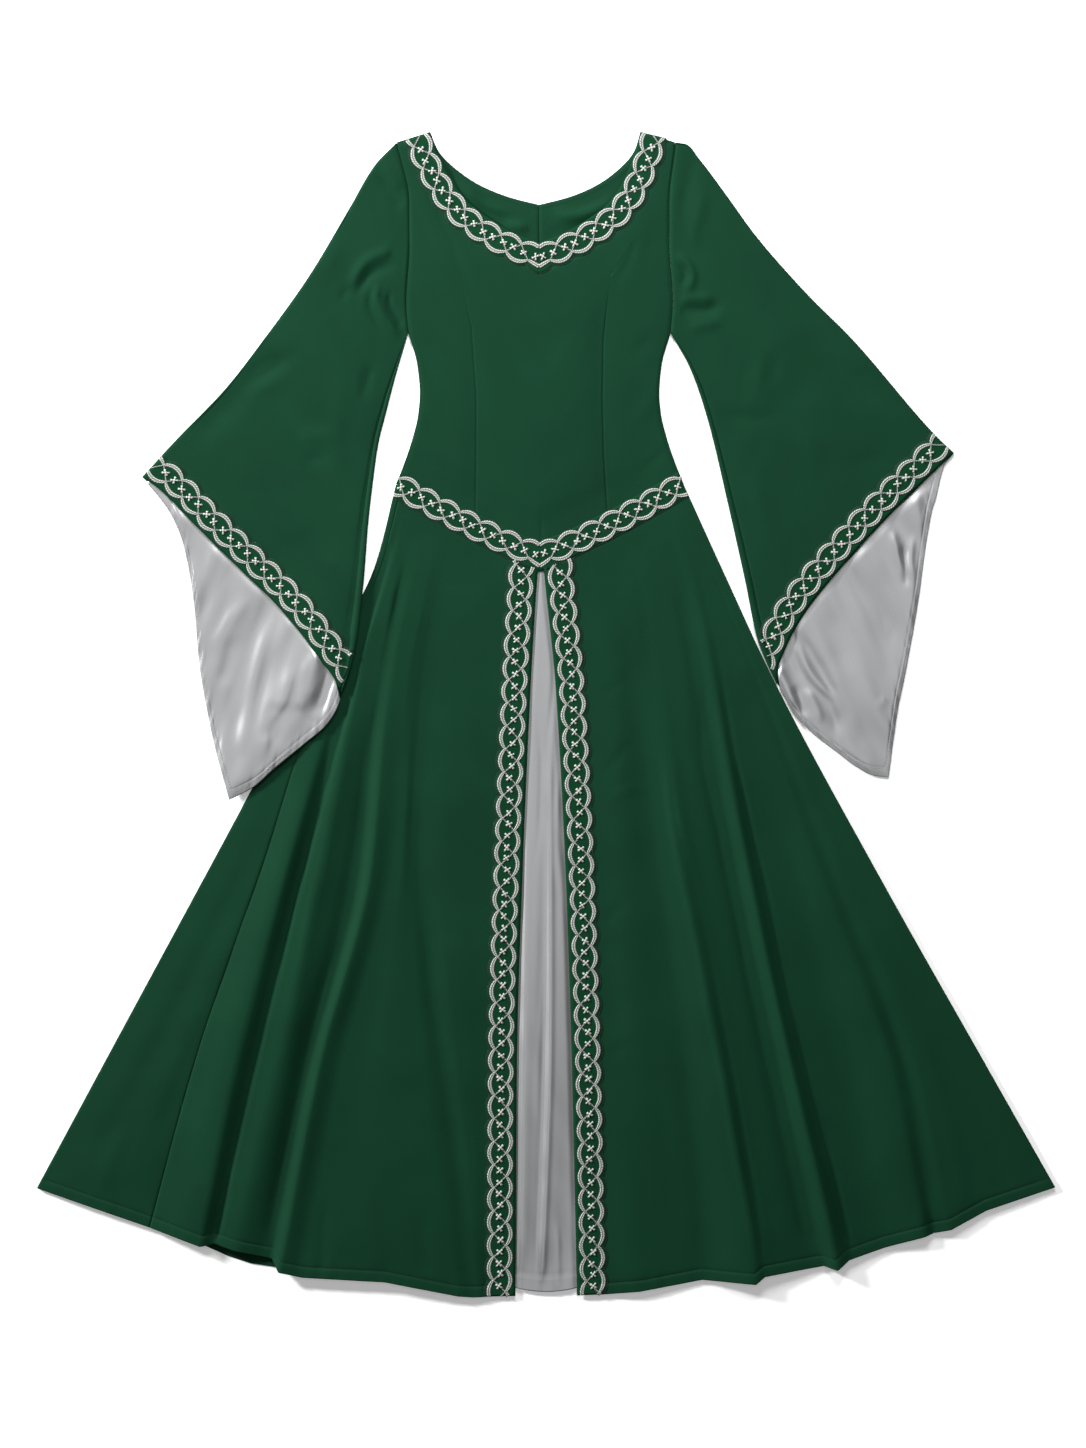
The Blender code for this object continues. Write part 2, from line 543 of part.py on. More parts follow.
def lift(grid, sleeve):
    # The left sleeve lies on the skirt's edge and climbs onto it
    if sleeve.side > 0:
        return grid
    inside = grid[:, :, 0] - skirt_edge_x(grid[:, :, 1])
    grid = grid.copy()
    climb = ease((inside - LIFT_START) / (LIFT_END - LIFT_START))
    below = ease((LIFT_TOP - grid[:, :, 1]) / (LIFT_TOP - LIFT_FULL))
    grid[:, :, 2] += SLEEVE_LIFT * climb * below
    return grid


def sleeve_edges(sleeve):
    # The armhole, and the outer and underarm edges in step with the rows
    armhole = placed(ARMHOLE, sleeve.side) + [sleeve.side * SEAM_GAP, 0.0]
    outer = [tuple(armhole[0])] + list(sleeve.outer)
    inner = [tuple(armhole[-1])] + list(sleeve.inner)
    ribbon_start = np.array(sleeve.ribbon_top[0])
    outer_fine = along(outer, 200)
    inner_fine = along(inner, 200)
    outer_cut = np.argmin(np.linalg.norm(outer_fine - ribbon_start, axis=1))
    ribbon_end = np.array(sleeve.ribbon_top[-1])
    inner_cut = np.argmin(np.abs(inner_fine[:, 1] - ribbon_end[1]))
    outer_rows = joined(along(outer_fine[:outer_cut + 1], SLEEVE_ROWS),
                        along(outer_fine[outer_cut:], RIBBON_ROWS + 1))
    inner_rows = joined(along(inner_fine[:inner_cut + 1], SLEEVE_ROWS),
                        along(inner_fine[inner_cut:], RIBBON_ROWS + 1))
    return armhole, outer_rows, inner_rows


def make_sleeve(name, sleeve):
    armhole, outer, inner = sleeve_edges(sleeve)
    rows = len(outer)
    columns = ARMHOLE_POINTS
    top = along(armhole, columns)
    outward = edge_normal(outer) * -sleeve.side
    bend_centre = outer - BEND_INSET * outward
    bend_centre[0] = top[0] + BEND_INSET * (top[1] - top[0]) / np.linalg.norm(top[1] - top[0])
    toward = outer - inner
    toward /= np.linalg.norm(toward, axis=1)[:, None]
    taper = np.minimum(1.0, np.linspace(*SEAM_TAPER, rows))[:, None]
    taper[-RIBBON_ROWS:] = SEAM_TAPER_END
    seam = inner + sleeve.seam_width * taper * toward

    # Front: the main cloth from the outer fold to the seam, then the strip round the underarm edge
    top[0] = bend_centre[0]
    top[-1] = seam[0]
    ribbon_top = along(sleeve.ribbon_top, columns)
    ribbon_top[0] = bend_centre[SLEEVE_ROWS - 1]
    ribbon_top[-1] = seam[SLEEVE_ROWS - 1]
    upper = patch(top, ribbon_top, bend_centre[:SLEEVE_ROWS], seam[:SLEEVE_ROWS])
    hem = along(sleeve.hem, columns)
    hem[0] = bend_centre[-1]
    hem[-1] = seam[-1]
    share = np.arange(1, RIBBON_ROWS + 1)[:, None, None] / RIBBON_ROWS
    lower = (1 - share) * ribbon_top[None] + share * hem[None]
    lower[:, 0] = bend_centre[SLEEVE_ROWS:]
    lower[:, -1] = seam[SLEEVE_ROWS:]
    front_flat = np.concatenate([upper, lower])
    u = np.linspace(0, 1, columns)[None, :]
    v = np.linspace(0, 1, rows)[:, None]
    puff = np.interp(v, *zip(*SLEEVE_PUFF)) * np.abs(np.sin(np.pi * u)) ** 0.6
    front = raised(front_flat, FRONT_Z + puff)
    edge = raised(inner[:, None], FRONT_Z)

    # Back: from the underarm edge to the outer fold, down to the longer hem
    before = int(round(columns * HEM_SPLIT))
    back_hem = joined(along(sleeve.back_hem[0], before + 1), along(sleeve.back_hem[1], columns - before))
    back_hem[0] = bend_centre[-1]
    back_inner = inner + SIDE_STRIP * toward * taper.clip(0.2, 1.0)
    back_hem[-1] = back_inner[-1]
    back_top = along(armhole, columns)
    back_top[0] = bend_centre[0]
    back_top[-1] = back_inner[0]
    back = raised(patch(back_top, back_hem, bend_centre, back_inner), BACK_Z)
    back_edge = raised(inner[:, None], SIDE_Z)
    back_edge[0, 0, 2] = BACK_Z

    bend = []
    for angle in BEND_ANGLES[1:-1]:
        place = bend_centre + BEND_RADIUS * np.cos(angle) * outward
        tall = np.full((rows, 1), (BACK_Z + FRONT_Z) / 2 + BEND_RADIUS * np.sin(angle))
        bend.append(np.hstack([place, tall]))
    bend = np.stack(bend, axis=1)
    grid = np.concatenate([back_edge, back[:, ::-1], bend, front, edge], axis=1)
    green(name, lift(grid, sleeve))

    band = front[SLEEVE_ROWS - 1:].copy()
    band[:, :, 2] += ON_PANEL
    ribbon(name.replace("sleeve", "trim_sleeve"), lift(band, sleeve))


def make_sleeve_lining(name, sleeve):
    columns = LINING_COLUMNS
    before = int(round(columns * HEM_SPLIT))
    full = joined(along(sleeve.back_hem[0], HEM_POINTS[0]), along(sleeve.back_hem[1], HEM_POINTS[1]))
    length = distances(full)
    corner = length[HEM_POINTS[0] - 1]
    first = np.linspace(LINING_INSET, corner, before)
    second = np.linspace(corner, length[-1] - LINING_INSET, columns - before + 1)
    at = np.concatenate([first, second[1:]])
    bottom = np.column_stack([np.interp(at, length, full[:, 0]), np.interp(at, length, full[:, 1])])
    hem = along(along(sleeve.hem, FRONT_HEM_POINTS)[slice(*FRONT_HEM_ENDS)], columns)
    tail = distances(hem)[-1] - distances(hem)
    width = LINING_UNDER * ease((tail + LINING_INSET) / LINING_TAPER)
    under = hem + sleeve.side * width[:, None] * edge_normal(hem)
    rows_left = along([under[0], bottom[0]], LINING_ROWS)
    rows_right = along([under[-1], bottom[-1]], LINING_ROWS)
    flat = patch(under, bottom, rows_left, rows_right)
    silver(name, lift(raised(flat, SATIN_Z), sleeve))


for old in list(bpy.data.objects):
    bpy.data.objects.remove(old, do_unlink=True)

make_bodice_front()
make_bodice_back("bodice_back_left", -1)
make_bodice_back("bodice_back_right", 1)
make_skirt_fronts()
make_skirt_back()
make_inset()
make_waist_ribbon()
make_sleeve("sleeve_left", LEFT_SLEEVE)
make_sleeve("sleeve_right", RIGHT_SLEEVE)
make_sleeve_lining("sleeve_lining_left", LEFT_SLEEVE)
make_sleeve_lining("sleeve_lining_right", RIGHT_SLEEVE)
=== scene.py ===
# A long green dress with bell sleeves, laid flat: its cloth, satin, embroidery and stitching,
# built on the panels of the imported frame. Sizes are in millimetres; Z is up from the floor.
import math
from collections import namedtuple

import bmesh
import bpy
import numpy as np
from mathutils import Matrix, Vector, noise
from mathutils.bvhtree import BVHTree


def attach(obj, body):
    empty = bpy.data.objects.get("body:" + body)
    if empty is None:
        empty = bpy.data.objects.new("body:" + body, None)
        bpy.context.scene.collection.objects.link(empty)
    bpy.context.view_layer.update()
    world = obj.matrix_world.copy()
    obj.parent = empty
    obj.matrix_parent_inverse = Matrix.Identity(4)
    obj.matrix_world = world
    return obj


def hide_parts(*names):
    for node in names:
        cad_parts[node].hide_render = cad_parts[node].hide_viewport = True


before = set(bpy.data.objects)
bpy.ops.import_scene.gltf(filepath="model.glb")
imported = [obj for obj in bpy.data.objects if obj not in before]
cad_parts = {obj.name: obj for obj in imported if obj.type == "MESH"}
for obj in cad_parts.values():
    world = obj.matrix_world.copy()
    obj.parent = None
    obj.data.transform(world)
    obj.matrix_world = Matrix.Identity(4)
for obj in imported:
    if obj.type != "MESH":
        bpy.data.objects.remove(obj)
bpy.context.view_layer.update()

mm = 0.001
scene = bpy.context.scene
middle = (0.24, 0.10, 0.0)  # middle of the outline in the tables' frame

# Heights of the layers, as in the solids: back panels, satin, front panels and side edges
backZ, satinZ, frontZ, sideZ = 0.6, 2.3, 4.0, 2.5
bendRadius = (frontZ - backZ) / 2  # of the cloth where it goes round an outer edge
bendInset = 2.3  # from that edge to the middle of the bend

curveSteps = 600  # samples of a smooth curve
creaseSteps = 30  # pieces of a fold's path
creaseReach = 3.2  # half widths past which a fold is flat
narrowestCell = 0.35


# Curves and grids

def smooth(knots, values, at):
    # a monotone cubic through the points: it never swings past them
    knots = np.asarray(knots, float)
    values = np.asarray(values, float)
    step = np.diff(knots)
    slope = np.diff(values) / step
    tangent = np.zeros(len(knots))
    tangent[0], tangent[-1] = slope[0], slope[-1]
    for i in range(1, len(knots) - 1):
        if slope[i - 1] * slope[i] > 0:
            tangent[i] = 2 * slope[i - 1] * slope[i] / (slope[i - 1] + slope[i])
    cell = np.clip(np.searchsorted(knots, at, side="right") - 1, 0, len(step) - 1)
    width = step[cell]
    t = (at - knots[cell]) / width
    return ((1 + 2 * t) * (1 - t) ** 2 * values[cell] + t * (1 - t) ** 2 * width * tangent[cell]
            + t * t * (3 - 2 * t) * values[cell + 1] - t * t * (1 - t) * width * tangent[cell + 1])


def ease(value):
    value = np.clip(value, 0.0, 1.0)
    return value * value * (3 - 2 * value)


def distances(points):
    return np.concatenate([[0.0], np.cumsum(np.linalg.norm(np.diff(points, axis=0), axis=1))])


def along(points, places):
    # points on a smooth curve: places is a count, or shares of its length
    points = np.asarray(points, float)
    chord = distances(points)
    fineAt = np.linspace(0, chord[-1], curveSteps)
    fine = np.column_stack([smooth(chord, points[:, k], fineAt) for k in range(points.shape[1])])
    length = distances(fine)
    at = np.linspace(0, 1, places) if isinstance(places, int) else np.asarray(places)
    at = at * length[-1]
    return np.column_stack([np.interp(at, length, fine[:, k]) for k in range(points.shape[1])])


def joined(*runs):
    return np.concatenate([runs[0]] + [run[1:] for run in runs[1:]])


def patch(top, bottom, left, right):
    # a panel between four sides: rows from top to bottom, columns from left to right
    def shares(first, second):
        first, second = distances(first), distances(second)
        return (first / first[-1] + second / second[-1]) / 2
    u = shares(top, bottom)[None, :, None]
    v = shares(left, right)[:, None, None]
    corners = ((1 - u) * (1 - v) * top[0] + u * (1 - v) * top[-1]
               + (1 - u) * v * bottom[0] + u * v * bottom[-1])
    across = (1 - u) * left[:, None] + u * right[:, None]
    return across + (1 - v) * top[None] + v * bottom[None] - corners


def offset(points, width):
    # the curve moved to the right of its direction, corners mitred
    step = np.diff(points, axis=0)
    step /= np.linalg.norm(step, axis=1)[:, None]
    side = np.column_stack([step[:, 1], -step[:, 0]])
    before, after = np.concatenate([side[:1], side]), np.concatenate([side, side[-1:]])
    mitre = before + after
    mitre /= np.sum(mitre * before, axis=1)[:, None]
    return points + width * mitre


def spread(count, length, edge=1.2, extra=()):
    # even shares of a length, with a narrow cell at both ends and any extra places
    shares = np.sort([*np.linspace(0, 1, count), edge / length, 1 - edge / length, *extra])
    keep = np.concatenate([[True], np.diff(shares) > narrowestCell / length])
    keep[-1] = True
    return shares[keep]


def raised(flat, height):
    return np.dstack([flat, np.broadcast_to(height, flat.shape[:2])])


# Soft folds, laid on a grid

def crease(grid, folds):
    # each fold: its path, rise, half widths to the left and right of the path, and the shares
    # of its length over which it swells and fades
    spot = grid[:, :, :2].reshape(-1, 2)
    height = np.zeros(len(spot))
    for path, rise, left, right, start, end in folds:
        points = along(path, creaseSteps)
        reach = creaseReach * max(left, right)
        low, high = points.min(axis=0) - reach, points.max(axis=0) + reach
        near = np.flatnonzero(np.all((spot > low) & (spot < high), axis=1))
        if not len(near):
            continue
        best = np.full(len(near), np.inf)
        place = np.zeros(len(near))
        side = np.zeros(len(near))
        length = distances(points)
        for a, b, begun in zip(points[:-1], points[1:], length[:-1]):
            step = b - a
            size = np.linalg.norm(step)
            away = spot[near] - a
            t = np.clip(away @ step / size ** 2, 0, 1)
            gap = np.linalg.norm(away - t[:, None] * step, axis=1)
            closer = gap < best
            best[closer] = gap[closer]
            place[closer] = (begun + t[closer] * size) / length[-1]
            side[closer] = np.sign(step[0] * away[closer, 1] - step[1] * away[closer, 0])
        width = np.where(side > 0, left, right)
        swell = ease(place / max(start, 1e-3)) * ease((1 - place) / max(end, 1e-3))
        height[near] += rise * swell * np.exp(-(best / width) ** 2)
    grid[:, :, 2] += height.reshape(grid.shape[:2])
    return grid


def uneven(grid, size, rise, seed):
    # the slight unevenness of pressed cloth
    rows, columns = grid.shape[:2]
    for r in range(rows):
        for c in range(columns):
            x, y = grid[r, c, 0] / size, grid[r, c, 1] / size
            grid[r, c, 2] += rise * noise.noise(Vector((x, y, seed)))
    return grid


def levelled(grid, lowest):
    grid[:, :, 2] = np.maximum(grid[:, :, 2], lowest)
    return grid


# Pieces

surfaces = {}  # each cloth's middle surface and wall, for what is sewn on it

def finished(piece, material):
    piece.data.materials.append(material)
    scene.collection.objects.link(piece)
    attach(piece, "root")
    return piece


def cloth(name, grid, thickness, material, slot, node):
    # a thin shell round a grid of middle points, with a map of its threads in metres
    rows, columns = grid.shape[:2]
    across = np.zeros((rows, columns))
    across[:, 1:] = np.cumsum(np.linalg.norm(np.diff(grid, axis=1), axis=2), axis=1)
    down = np.zeros((rows, columns))
    down[1:] = np.cumsum(np.linalg.norm(np.diff(grid, axis=0), axis=2), axis=0)
    shape = bmesh.new()
    bmesh.ops.create_grid(shape, x_segments=columns - 1, y_segments=rows - 1, size=1.0)
    threads = shape.loops.layers.uv.new("threads")
    where = (grid - middle) * mm
    for vertex, place in zip(shape.verts, where.reshape(-1, 3)):
        vertex.co = place
    places = np.dstack([across, down]).reshape(-1, 2) * mm
    for face in shape.faces:
        for loop in face.loops:
            loop[threads].uv = places[loop.vert.index]
    mesh = bpy.data.meshes.new(name)
    shape.to_mesh(mesh)
    surfaces[name] = (BVHTree.FromBMesh(shape), thickness)
    shape.free()
    mesh.shade_smooth()
    piece = bpy.data.objects.new(name, mesh)
    wall = piece.modifiers.new("wall", 'SOLIDIFY')
    wall.thickness = thickness * mm
    wall.offset = 0.0
    finished(piece, material)
    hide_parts(node)
    return piece


def declareSheet(grid):
    # the cut's width is measured along some of the rows and its length along some of the columns; neither is
    # used
    rows, columns = grid.shape[:2]
    wide = max(distances(grid[r])[-1] for r in range(0, rows, max(1, rows // 12))) * mm
    long = max(distances(grid[:, c])[-1] for c in range(0, columns, max(1, columns // 12))) * mm


# Materials

def linear(code):
    # an sRGB hex value as linear colour
    parts = [int(code[i:i + 2], 16) / 255 for i in (1, 3, 5)]
    return [p / 12.92 if p <= 0.04045 else ((p + 0.055) / 1.055) ** 2.4 for p in parts] + [1.0]


def addNode(tree, kind, settings=None, links=None):
    # settings: a socket's name or number, or a property, and its value; links: a socket and what feeds it
    node = tree.nodes.new(kind)
    for key, value in (settings or {}).items():
        if isinstance(key, int) or key in node.inputs:
            node.inputs[key].default_value = value
        else:
            setattr(node, key, value)
    for key, source in (links or {}).items():
        tree.links.new(source, node.inputs[key])
    return node


def newMaterial(name, settings):
    material = bpy.data.materials.new(name)
    material.use_nodes = True
    tree = material.node_tree
    shader = tree.nodes["Principled BSDF"]
    for key, value in settings.items():
        shader.inputs[key].default_value = value
    return material, tree, shader


cloths = {
    "green": "#0D3623", "greenLow": "#0A2E1D",  # crepe, lightest and darkest
    "ground": "#08371F", "groundLow": "#062F1A",  # crepe under the embroidery
    "satin": "#A7A8A9", "satinLow": "#A0A1A2",
    # each thread's low tone is painted shade in the gaps between its stitches and rows
    "silverThread": "#B2B4AE", "silverLow": "#464D47",
    "greenThread": "#092217", "greenThreadLow": "#051709",
    "greyThread": "#7C8082", "greyThreadLow": "#5C6062",
    "threadMm": 1.3,  # drawn three times as coarse as the real 0.4 mm, so that it shows
    "embroideryTwist": 2.6, "sewingTwist": 1.2,  # from one slanted stitch to the next
}


def bands(size):
    # a wave texture's scale for bands this many millimetres apart
    return math.pi / 10 / (size * mm)


def surfaced(tree, shader, tones, share, relief, strength, distance):
    # the base colour between a low and a high tone, and a fine relief
    colours = {"data_type": 'RGBA', 6: linear(tones[0]), 7: linear(tones[1])}
    colour = addNode(tree, "ShaderNodeMix", colours, {0: share})
    tree.links.new(colour.outputs[2], shader.inputs["Base Color"])
    bump = addNode(tree, "ShaderNodeBump", {"Strength": strength, "Distance": distance}, {"Height": relief})
    tree.links.new(bump.outputs[0], shader.inputs["Normal"])


def wovenGreen(name, low, high):
    # Matte polyester crepe, piece dyed and pressed: an even dark green with a faint bloom at the folds
    material, tree, shader = newMaterial(name, {
        "Roughness": 0.75, "IOR": 1.46, "Specular IOR Level": 0.06,
        "Sheen Weight": 0.05, "Sheen Roughness": 0.5, "Sheen Tint": linear("#7FBF9B")})
    threads = addNode(tree, "ShaderNodeUVMap", {"uv_map": "threads"}).outputs["UV"]
    cloudy, slubs = (
        addNode(tree, "ShaderNodeTexNoise", settings, {"Vector": threads}).outputs[0] for settings in (
            {"Scale": 9.0, "Detail": 3.0, "Roughness": 0.55},
            {"Scale": 420.0, "Detail": 2.0, "Roughness": 0.6}))
    both = addNode(tree, "ShaderNodeMix", {"data_type": 'FLOAT', 0: 0.45}, {2: cloudy, 3: slubs})
    tone = addNode(tree, "ShaderNodeMapRange", {"From Min": 0.3, "From Max": 0.7}, {"Value": both.outputs[0]})
    warp, weft = (addNode(tree, "ShaderNodeTexWave", {
        "bands_direction": axis, "Scale": bands(cloths["threadMm"]), "Distortion": 1.2, "Detail": 1.0},
        {"Vector": threads}).outputs["Fac"] for axis in "XY")
    weave = addNode(tree, "ShaderNodeMath", {"operation": 'MULTIPLY'}, {0: warp, 1: weft})
    surfaced(tree, shader, (low, high), tone.outputs[0], weave.outputs[0], 0.25, 0.0003)
    return material


def wovenSatin():
    # Polyester satin, long floats on the face: a soft metal-like gleam that streaks across each fold
    material, tree, shader = newMaterial("polyester satin", {
        "Roughness": 0.4, "IOR": 1.5, "Specular IOR Level": 0.5, "Metallic": 0.7,
        "Sheen Weight": 0.1, "Sheen Roughness": 0.4})
    threads = addNode(tree, "ShaderNodeUVMap", {"uv_map": "threads"}).outputs["UV"]
    stretch = addNode(tree, "ShaderNodeMapping", {"Scale": (500.0, 900.0, 1.0)}, {"Vector": threads})
    floats = addNode(tree, "ShaderNodeTexNoise", {"Scale": 1.0, "Detail": 2.0},
                     {"Vector": stretch.outputs[0]})
    tone = addNode(tree, "ShaderNodeMapRange", {"From Min": 0.3, "From Max": 0.7},
                   {"Value": floats.outputs[0]})
    tones = cloths["satinLow"], cloths["satin"]
    surfaced(tree, shader, tones, tone.outputs[0], floats.outputs[0], 0.06, 0.0002)
    return material


def thread(name, low, high, roughness, twist):
    # Spun thread laid in two rows of close slanted stitches, with painted shade in its colour: small dark
    # ticks in the gaps between the stitches, and a dark line in the groove between the rows
    material, tree, shader = newMaterial(name, {
        "Roughness": roughness, "IOR": 1.5, "Specular IOR Level": 0.3,
        "Sheen Weight": 0.1, "Sheen Roughness": 0.4})
    threads = addNode(tree, "ShaderNodeUVMap", {"uv_map": "threads"}).outputs["UV"]
    slant = addNode(tree, "ShaderNodeMapping", {"Rotation": (0, 0, 0.6)}, {"Vector": threads})
    # painted shade: the ticks darken the colour in the gaps between the stitches
    ticks = addNode(tree, "ShaderNodeTexWave", {
        "Scale": bands(twist), "Distortion": 2.5, "Detail": 2.0, "Detail Scale": 2.0},
        {"Vector": slant.outputs[0]})
    # painted shade along the groove between the rows: the colour darkens near the middle of the cord
    place = addNode(tree, "ShaderNodeSeparateXYZ", None, {0: threads})
    apart = addNode(tree, "ShaderNodeMath", {"operation": 'ABSOLUTE'}, {0: place.outputs["Y"]})
    rows = addNode(tree, "ShaderNodeMapRange", {"From Min": 0.0002, "From Max": 0.001, "To Min": 0.0},
                   {"Value": apart.outputs[0]})
    tone = addNode(tree, "ShaderNodeMapRange", {"From Max": 0.35}, {"Value": ticks.outputs["Fac"]})
    both = addNode(tree, "ShaderNodeMath", {"operation": 'MULTIPLY'},
                   {0: tone.outputs[0], 1: rows.outputs[0]})
    surfaced(tree, shader, (low, high), both.outputs[0], both.outputs[0], 0.4, 0.0003)
    return material


crepe = wovenGreen("dyed polyester crepe", cloths["greenLow"], cloths["green"])
groundCrepe = wovenGreen("embroidery ground crepe", cloths["groundLow"], cloths["ground"])
satin = wovenSatin()
silverThread = thread("silver rayon thread", cloths["silverLow"], cloths["silverThread"], 0.5,
                      cloths["embroideryTwist"])
# the green sewing thread also colours the tubes painted as shadow round the embroidery
greenThread, greyThread = (
    thread(colour + " sewing thread", cloths[colour + "ThreadLow"], cloths[colour + "Thread"], 0.6,
           cloths["sewingTwist"]) for colour in ("green", "grey"))
print("materials made")


# Bodice

bodice = {
    "cloth": 0.9,  # wall of the shell
    "puff": 3.0,  # the front stands off the back at its fullest
    "dartTrough": (0.8, 12.0),  # soft hollow along each dart: depth and half width
    "dartSeam": 0.9,  # depth of the sewn line
    "dartHalf": 84.0, "dartTop": 560.0,  # a dart's distance from the middle at the waist, and its upper end
    "waistDrop": 92.0, "waistCurve": 1.2,  # fall of the pointed waist seam, and how it bows
    "ribbonWidth": 34.0,
    "edgeRoll": (1.3, 5.0),  # the front's side edges turn down this far, over this width
    "neckStitches": 5.2,  # below the back neck's edge
    "centreGap": 0.15,  # half the slit of the centre back seam
    "frontRows": (6, 46, 52), "backRows": (6, 40, 40),  # grid rows on the shoulder, armhole and side
    "frontColumns": 56, "backColumns": 40,  # of each half
}
neckTop, shoulderTip, underarm, waistSide = (136.5, 757.0), (180.5, 743.5), (170.3, 496.0), (186.8, 299.7)
armholeLine = [shoulderTip, (169.0, 669.0), (168.7, 617.0), (173.5, 539.0), underarm]
bodiceSide = [underarm, (158.6, 454.0), (155.4, 417.0), (157.6, 391.0), (166.0, 356.0), (180.4, 315.0),
              waistSide]
frontNeck = [neckTop, (130.0, 735.0), (119.0, 709.0), (106.0, 684.5), (88.0, 662.5), (66.0, 645.5),
             (42.5, 631.0), (20.0, 620.5), (0.0, 612.5)]
backNeck = [neckTop, (127.4, 732.6), (104.0, 707.2), (72.0, 685.8), (36.0, 671.5), (0.0, 662.4)]
leftDart = [(-118, 593), (-112, 570), (-104, 541), (-96, 502), (-90, 415), (-91, 267)]
rightDart = [(91, 593), (84, 570), (79, 534), (74, 487), (73, 415), (75, 335), (79, 271)]


def centreX(height):
    return np.interp(height, [300.0, 670.0, 757.0], [-8.0, -9.0, -14.0])


def placed(points, side):
    points = np.asarray(points, float)
    return np.column_stack([centreX(points[:, 1]) + side * points[:, 0], points[:, 1]])


def waistY(x):
    share = np.abs(x - centreX(waistSide[1])) / waistSide[0]
    return waistSide[1] - bodice["waistDrop"] * (1 - np.minimum(share, 1.0) ** bodice["waistCurve"])


def ribbonReach(x):
    # half the waist ribbon's width, measured straight down where it slants; flat enough at the point
    slope = waistY(x + 1.0) - waistY(x)
    slope = np.where(np.abs(x - centreX(waistSide[1])) < 2.0, 0.45, slope)
    return bodice["ribbonWidth"] / 2 * np.sqrt(1 + slope ** 2)


def bodiceOutline(side, shoulderFrom, counts):
    return joined(along(placed([shoulderFrom, shoulderTip], side), counts[0]),
                  along(placed(armholeLine, side), counts[1]), along(placed(bodiceSide, side), counts[2]))


def rolled(grid, side, drop, reach):
    # an edge turned down towards its seam
    turned = {"left": grid, "right": grid[:, ::-1], "top": grid.swapaxes(0, 1)}[side]
    away = np.zeros(turned.shape[:2])
    away[:, 1:] = np.cumsum(np.linalg.norm(np.diff(turned[:, :, :2], axis=1), axis=2), axis=1)
    turned[:, :, 2] -= drop * (1 - ease(away / reach))
    return grid


def neckCurve(shares):
    half = along(frontNeck, shares)
    return joined(placed(half, -1), placed(half[::-1], 1))


bandShares = (0, 0.035, 0.12, 0.24, 0.36, 0.48, 0.6, 0.72, 0.84, 0.93, 1.0)  # rows under the neck ribbon


def drawnToDarts(flat, u, dartColumns):
    # the columns beside each dart are drawn onto its line
    for line, column, anchors in ((leftDart, dartColumns[0], (0, 5 / 24, 0.5)),
                                  (rightDart, dartColumns[1], (0.5, 19 / 24, 1.0))):
        line = np.array(line)[::-1]
        for row in flat[len(bandShares):]:
            x, y = row[column]
            wish = (np.interp(y, line[:, 1], line[:, 0]) - x) * ease((630 - y) / 60)
            row[:, 0] += np.interp(u, anchors, (0, wish, 0))


def bodiceFrontGrid():
    # a half has twelve parts: the dart stands five from the side, between two narrow cells
    dart, cell = 5 / 12, 1.1 / 330 * 2
    halfShares = spread(bodice["frontColumns"], 190.0, 1.2, (dart - cell, dart, dart + cell))
    neck = neckCurve(halfShares)
    bandRows = [offset(neck, bodice["ribbonWidth"] * share) for share in bandShares]
    top = bandRows[-1]
    shoulderFrom = (centreX(top[0, 1]) - top[0, 0], top[0, 1])
    left, right = (bodiceOutline(side, shoulderFrom, bodice["frontRows"]) for side in (-1, 1))
    left[0], right[0] = top[0], top[-1]
    mid = centreX(waistSide[1])
    away = np.interp(halfShares * 12, [0, 5, 12], [waistSide[0], bodice["dartHalf"], 0.0])
    waistX = np.concatenate([mid - away, mid + away[-2::-1]])
    body = patch(top, np.column_stack([waistX, waistY(waistX)]), left, right)
    flat = np.concatenate([np.array(bandRows[:-1]), body])
    rows = len(flat)
    u = np.concatenate([halfShares / 2, 1 - halfShares[-2::-1] / 2])
    v = np.clip((np.arange(rows) + 1 - len(bandShares)) / (rows - len(bandShares)), 0, 1)[:, None]
    dartColumns = [int(np.argmin(abs(u - 5 / 24))), int(np.argmin(abs(u - 19 / 24)))]
    drawnToDarts(flat, u, dartColumns)
    # the front stands off the back in its middle, and lies down at the waist ribbon
    puff = bodice["puff"] * np.sin(np.pi * u)[None] * np.abs(np.sin(np.pi * np.minimum(v * 1.08, 1.0))) ** 0.8
    ahead = flat[:, :, 1] - waistY(flat[:, :, 0])
    puff = puff * ease((ahead - 34) / 34)
    grid = raised(flat, frontZ + puff)
    depth, half = bodice["dartTrough"]
    for line, column in ((leftDart, dartColumns[0]), (rightDart, dartColumns[1])):
        crease(grid, [(line, -depth, half, half, 0.35, 0.08)])
        fade = ease((bodice["dartTop"] + 12 - flat[:, column, 1]) / 90) * ease((ahead[:, column] - 17) / 6)
        grid[:, column, 2] -= bodice["dartSeam"] * fade
    crease(grid, bodiceFolds)
    uneven(grid, 70.0, 0.7, 3.1)
    rolled(grid, "left", *bodice["edgeRoll"])
    return rolled(grid, "right", *bodice["edgeRoll"])


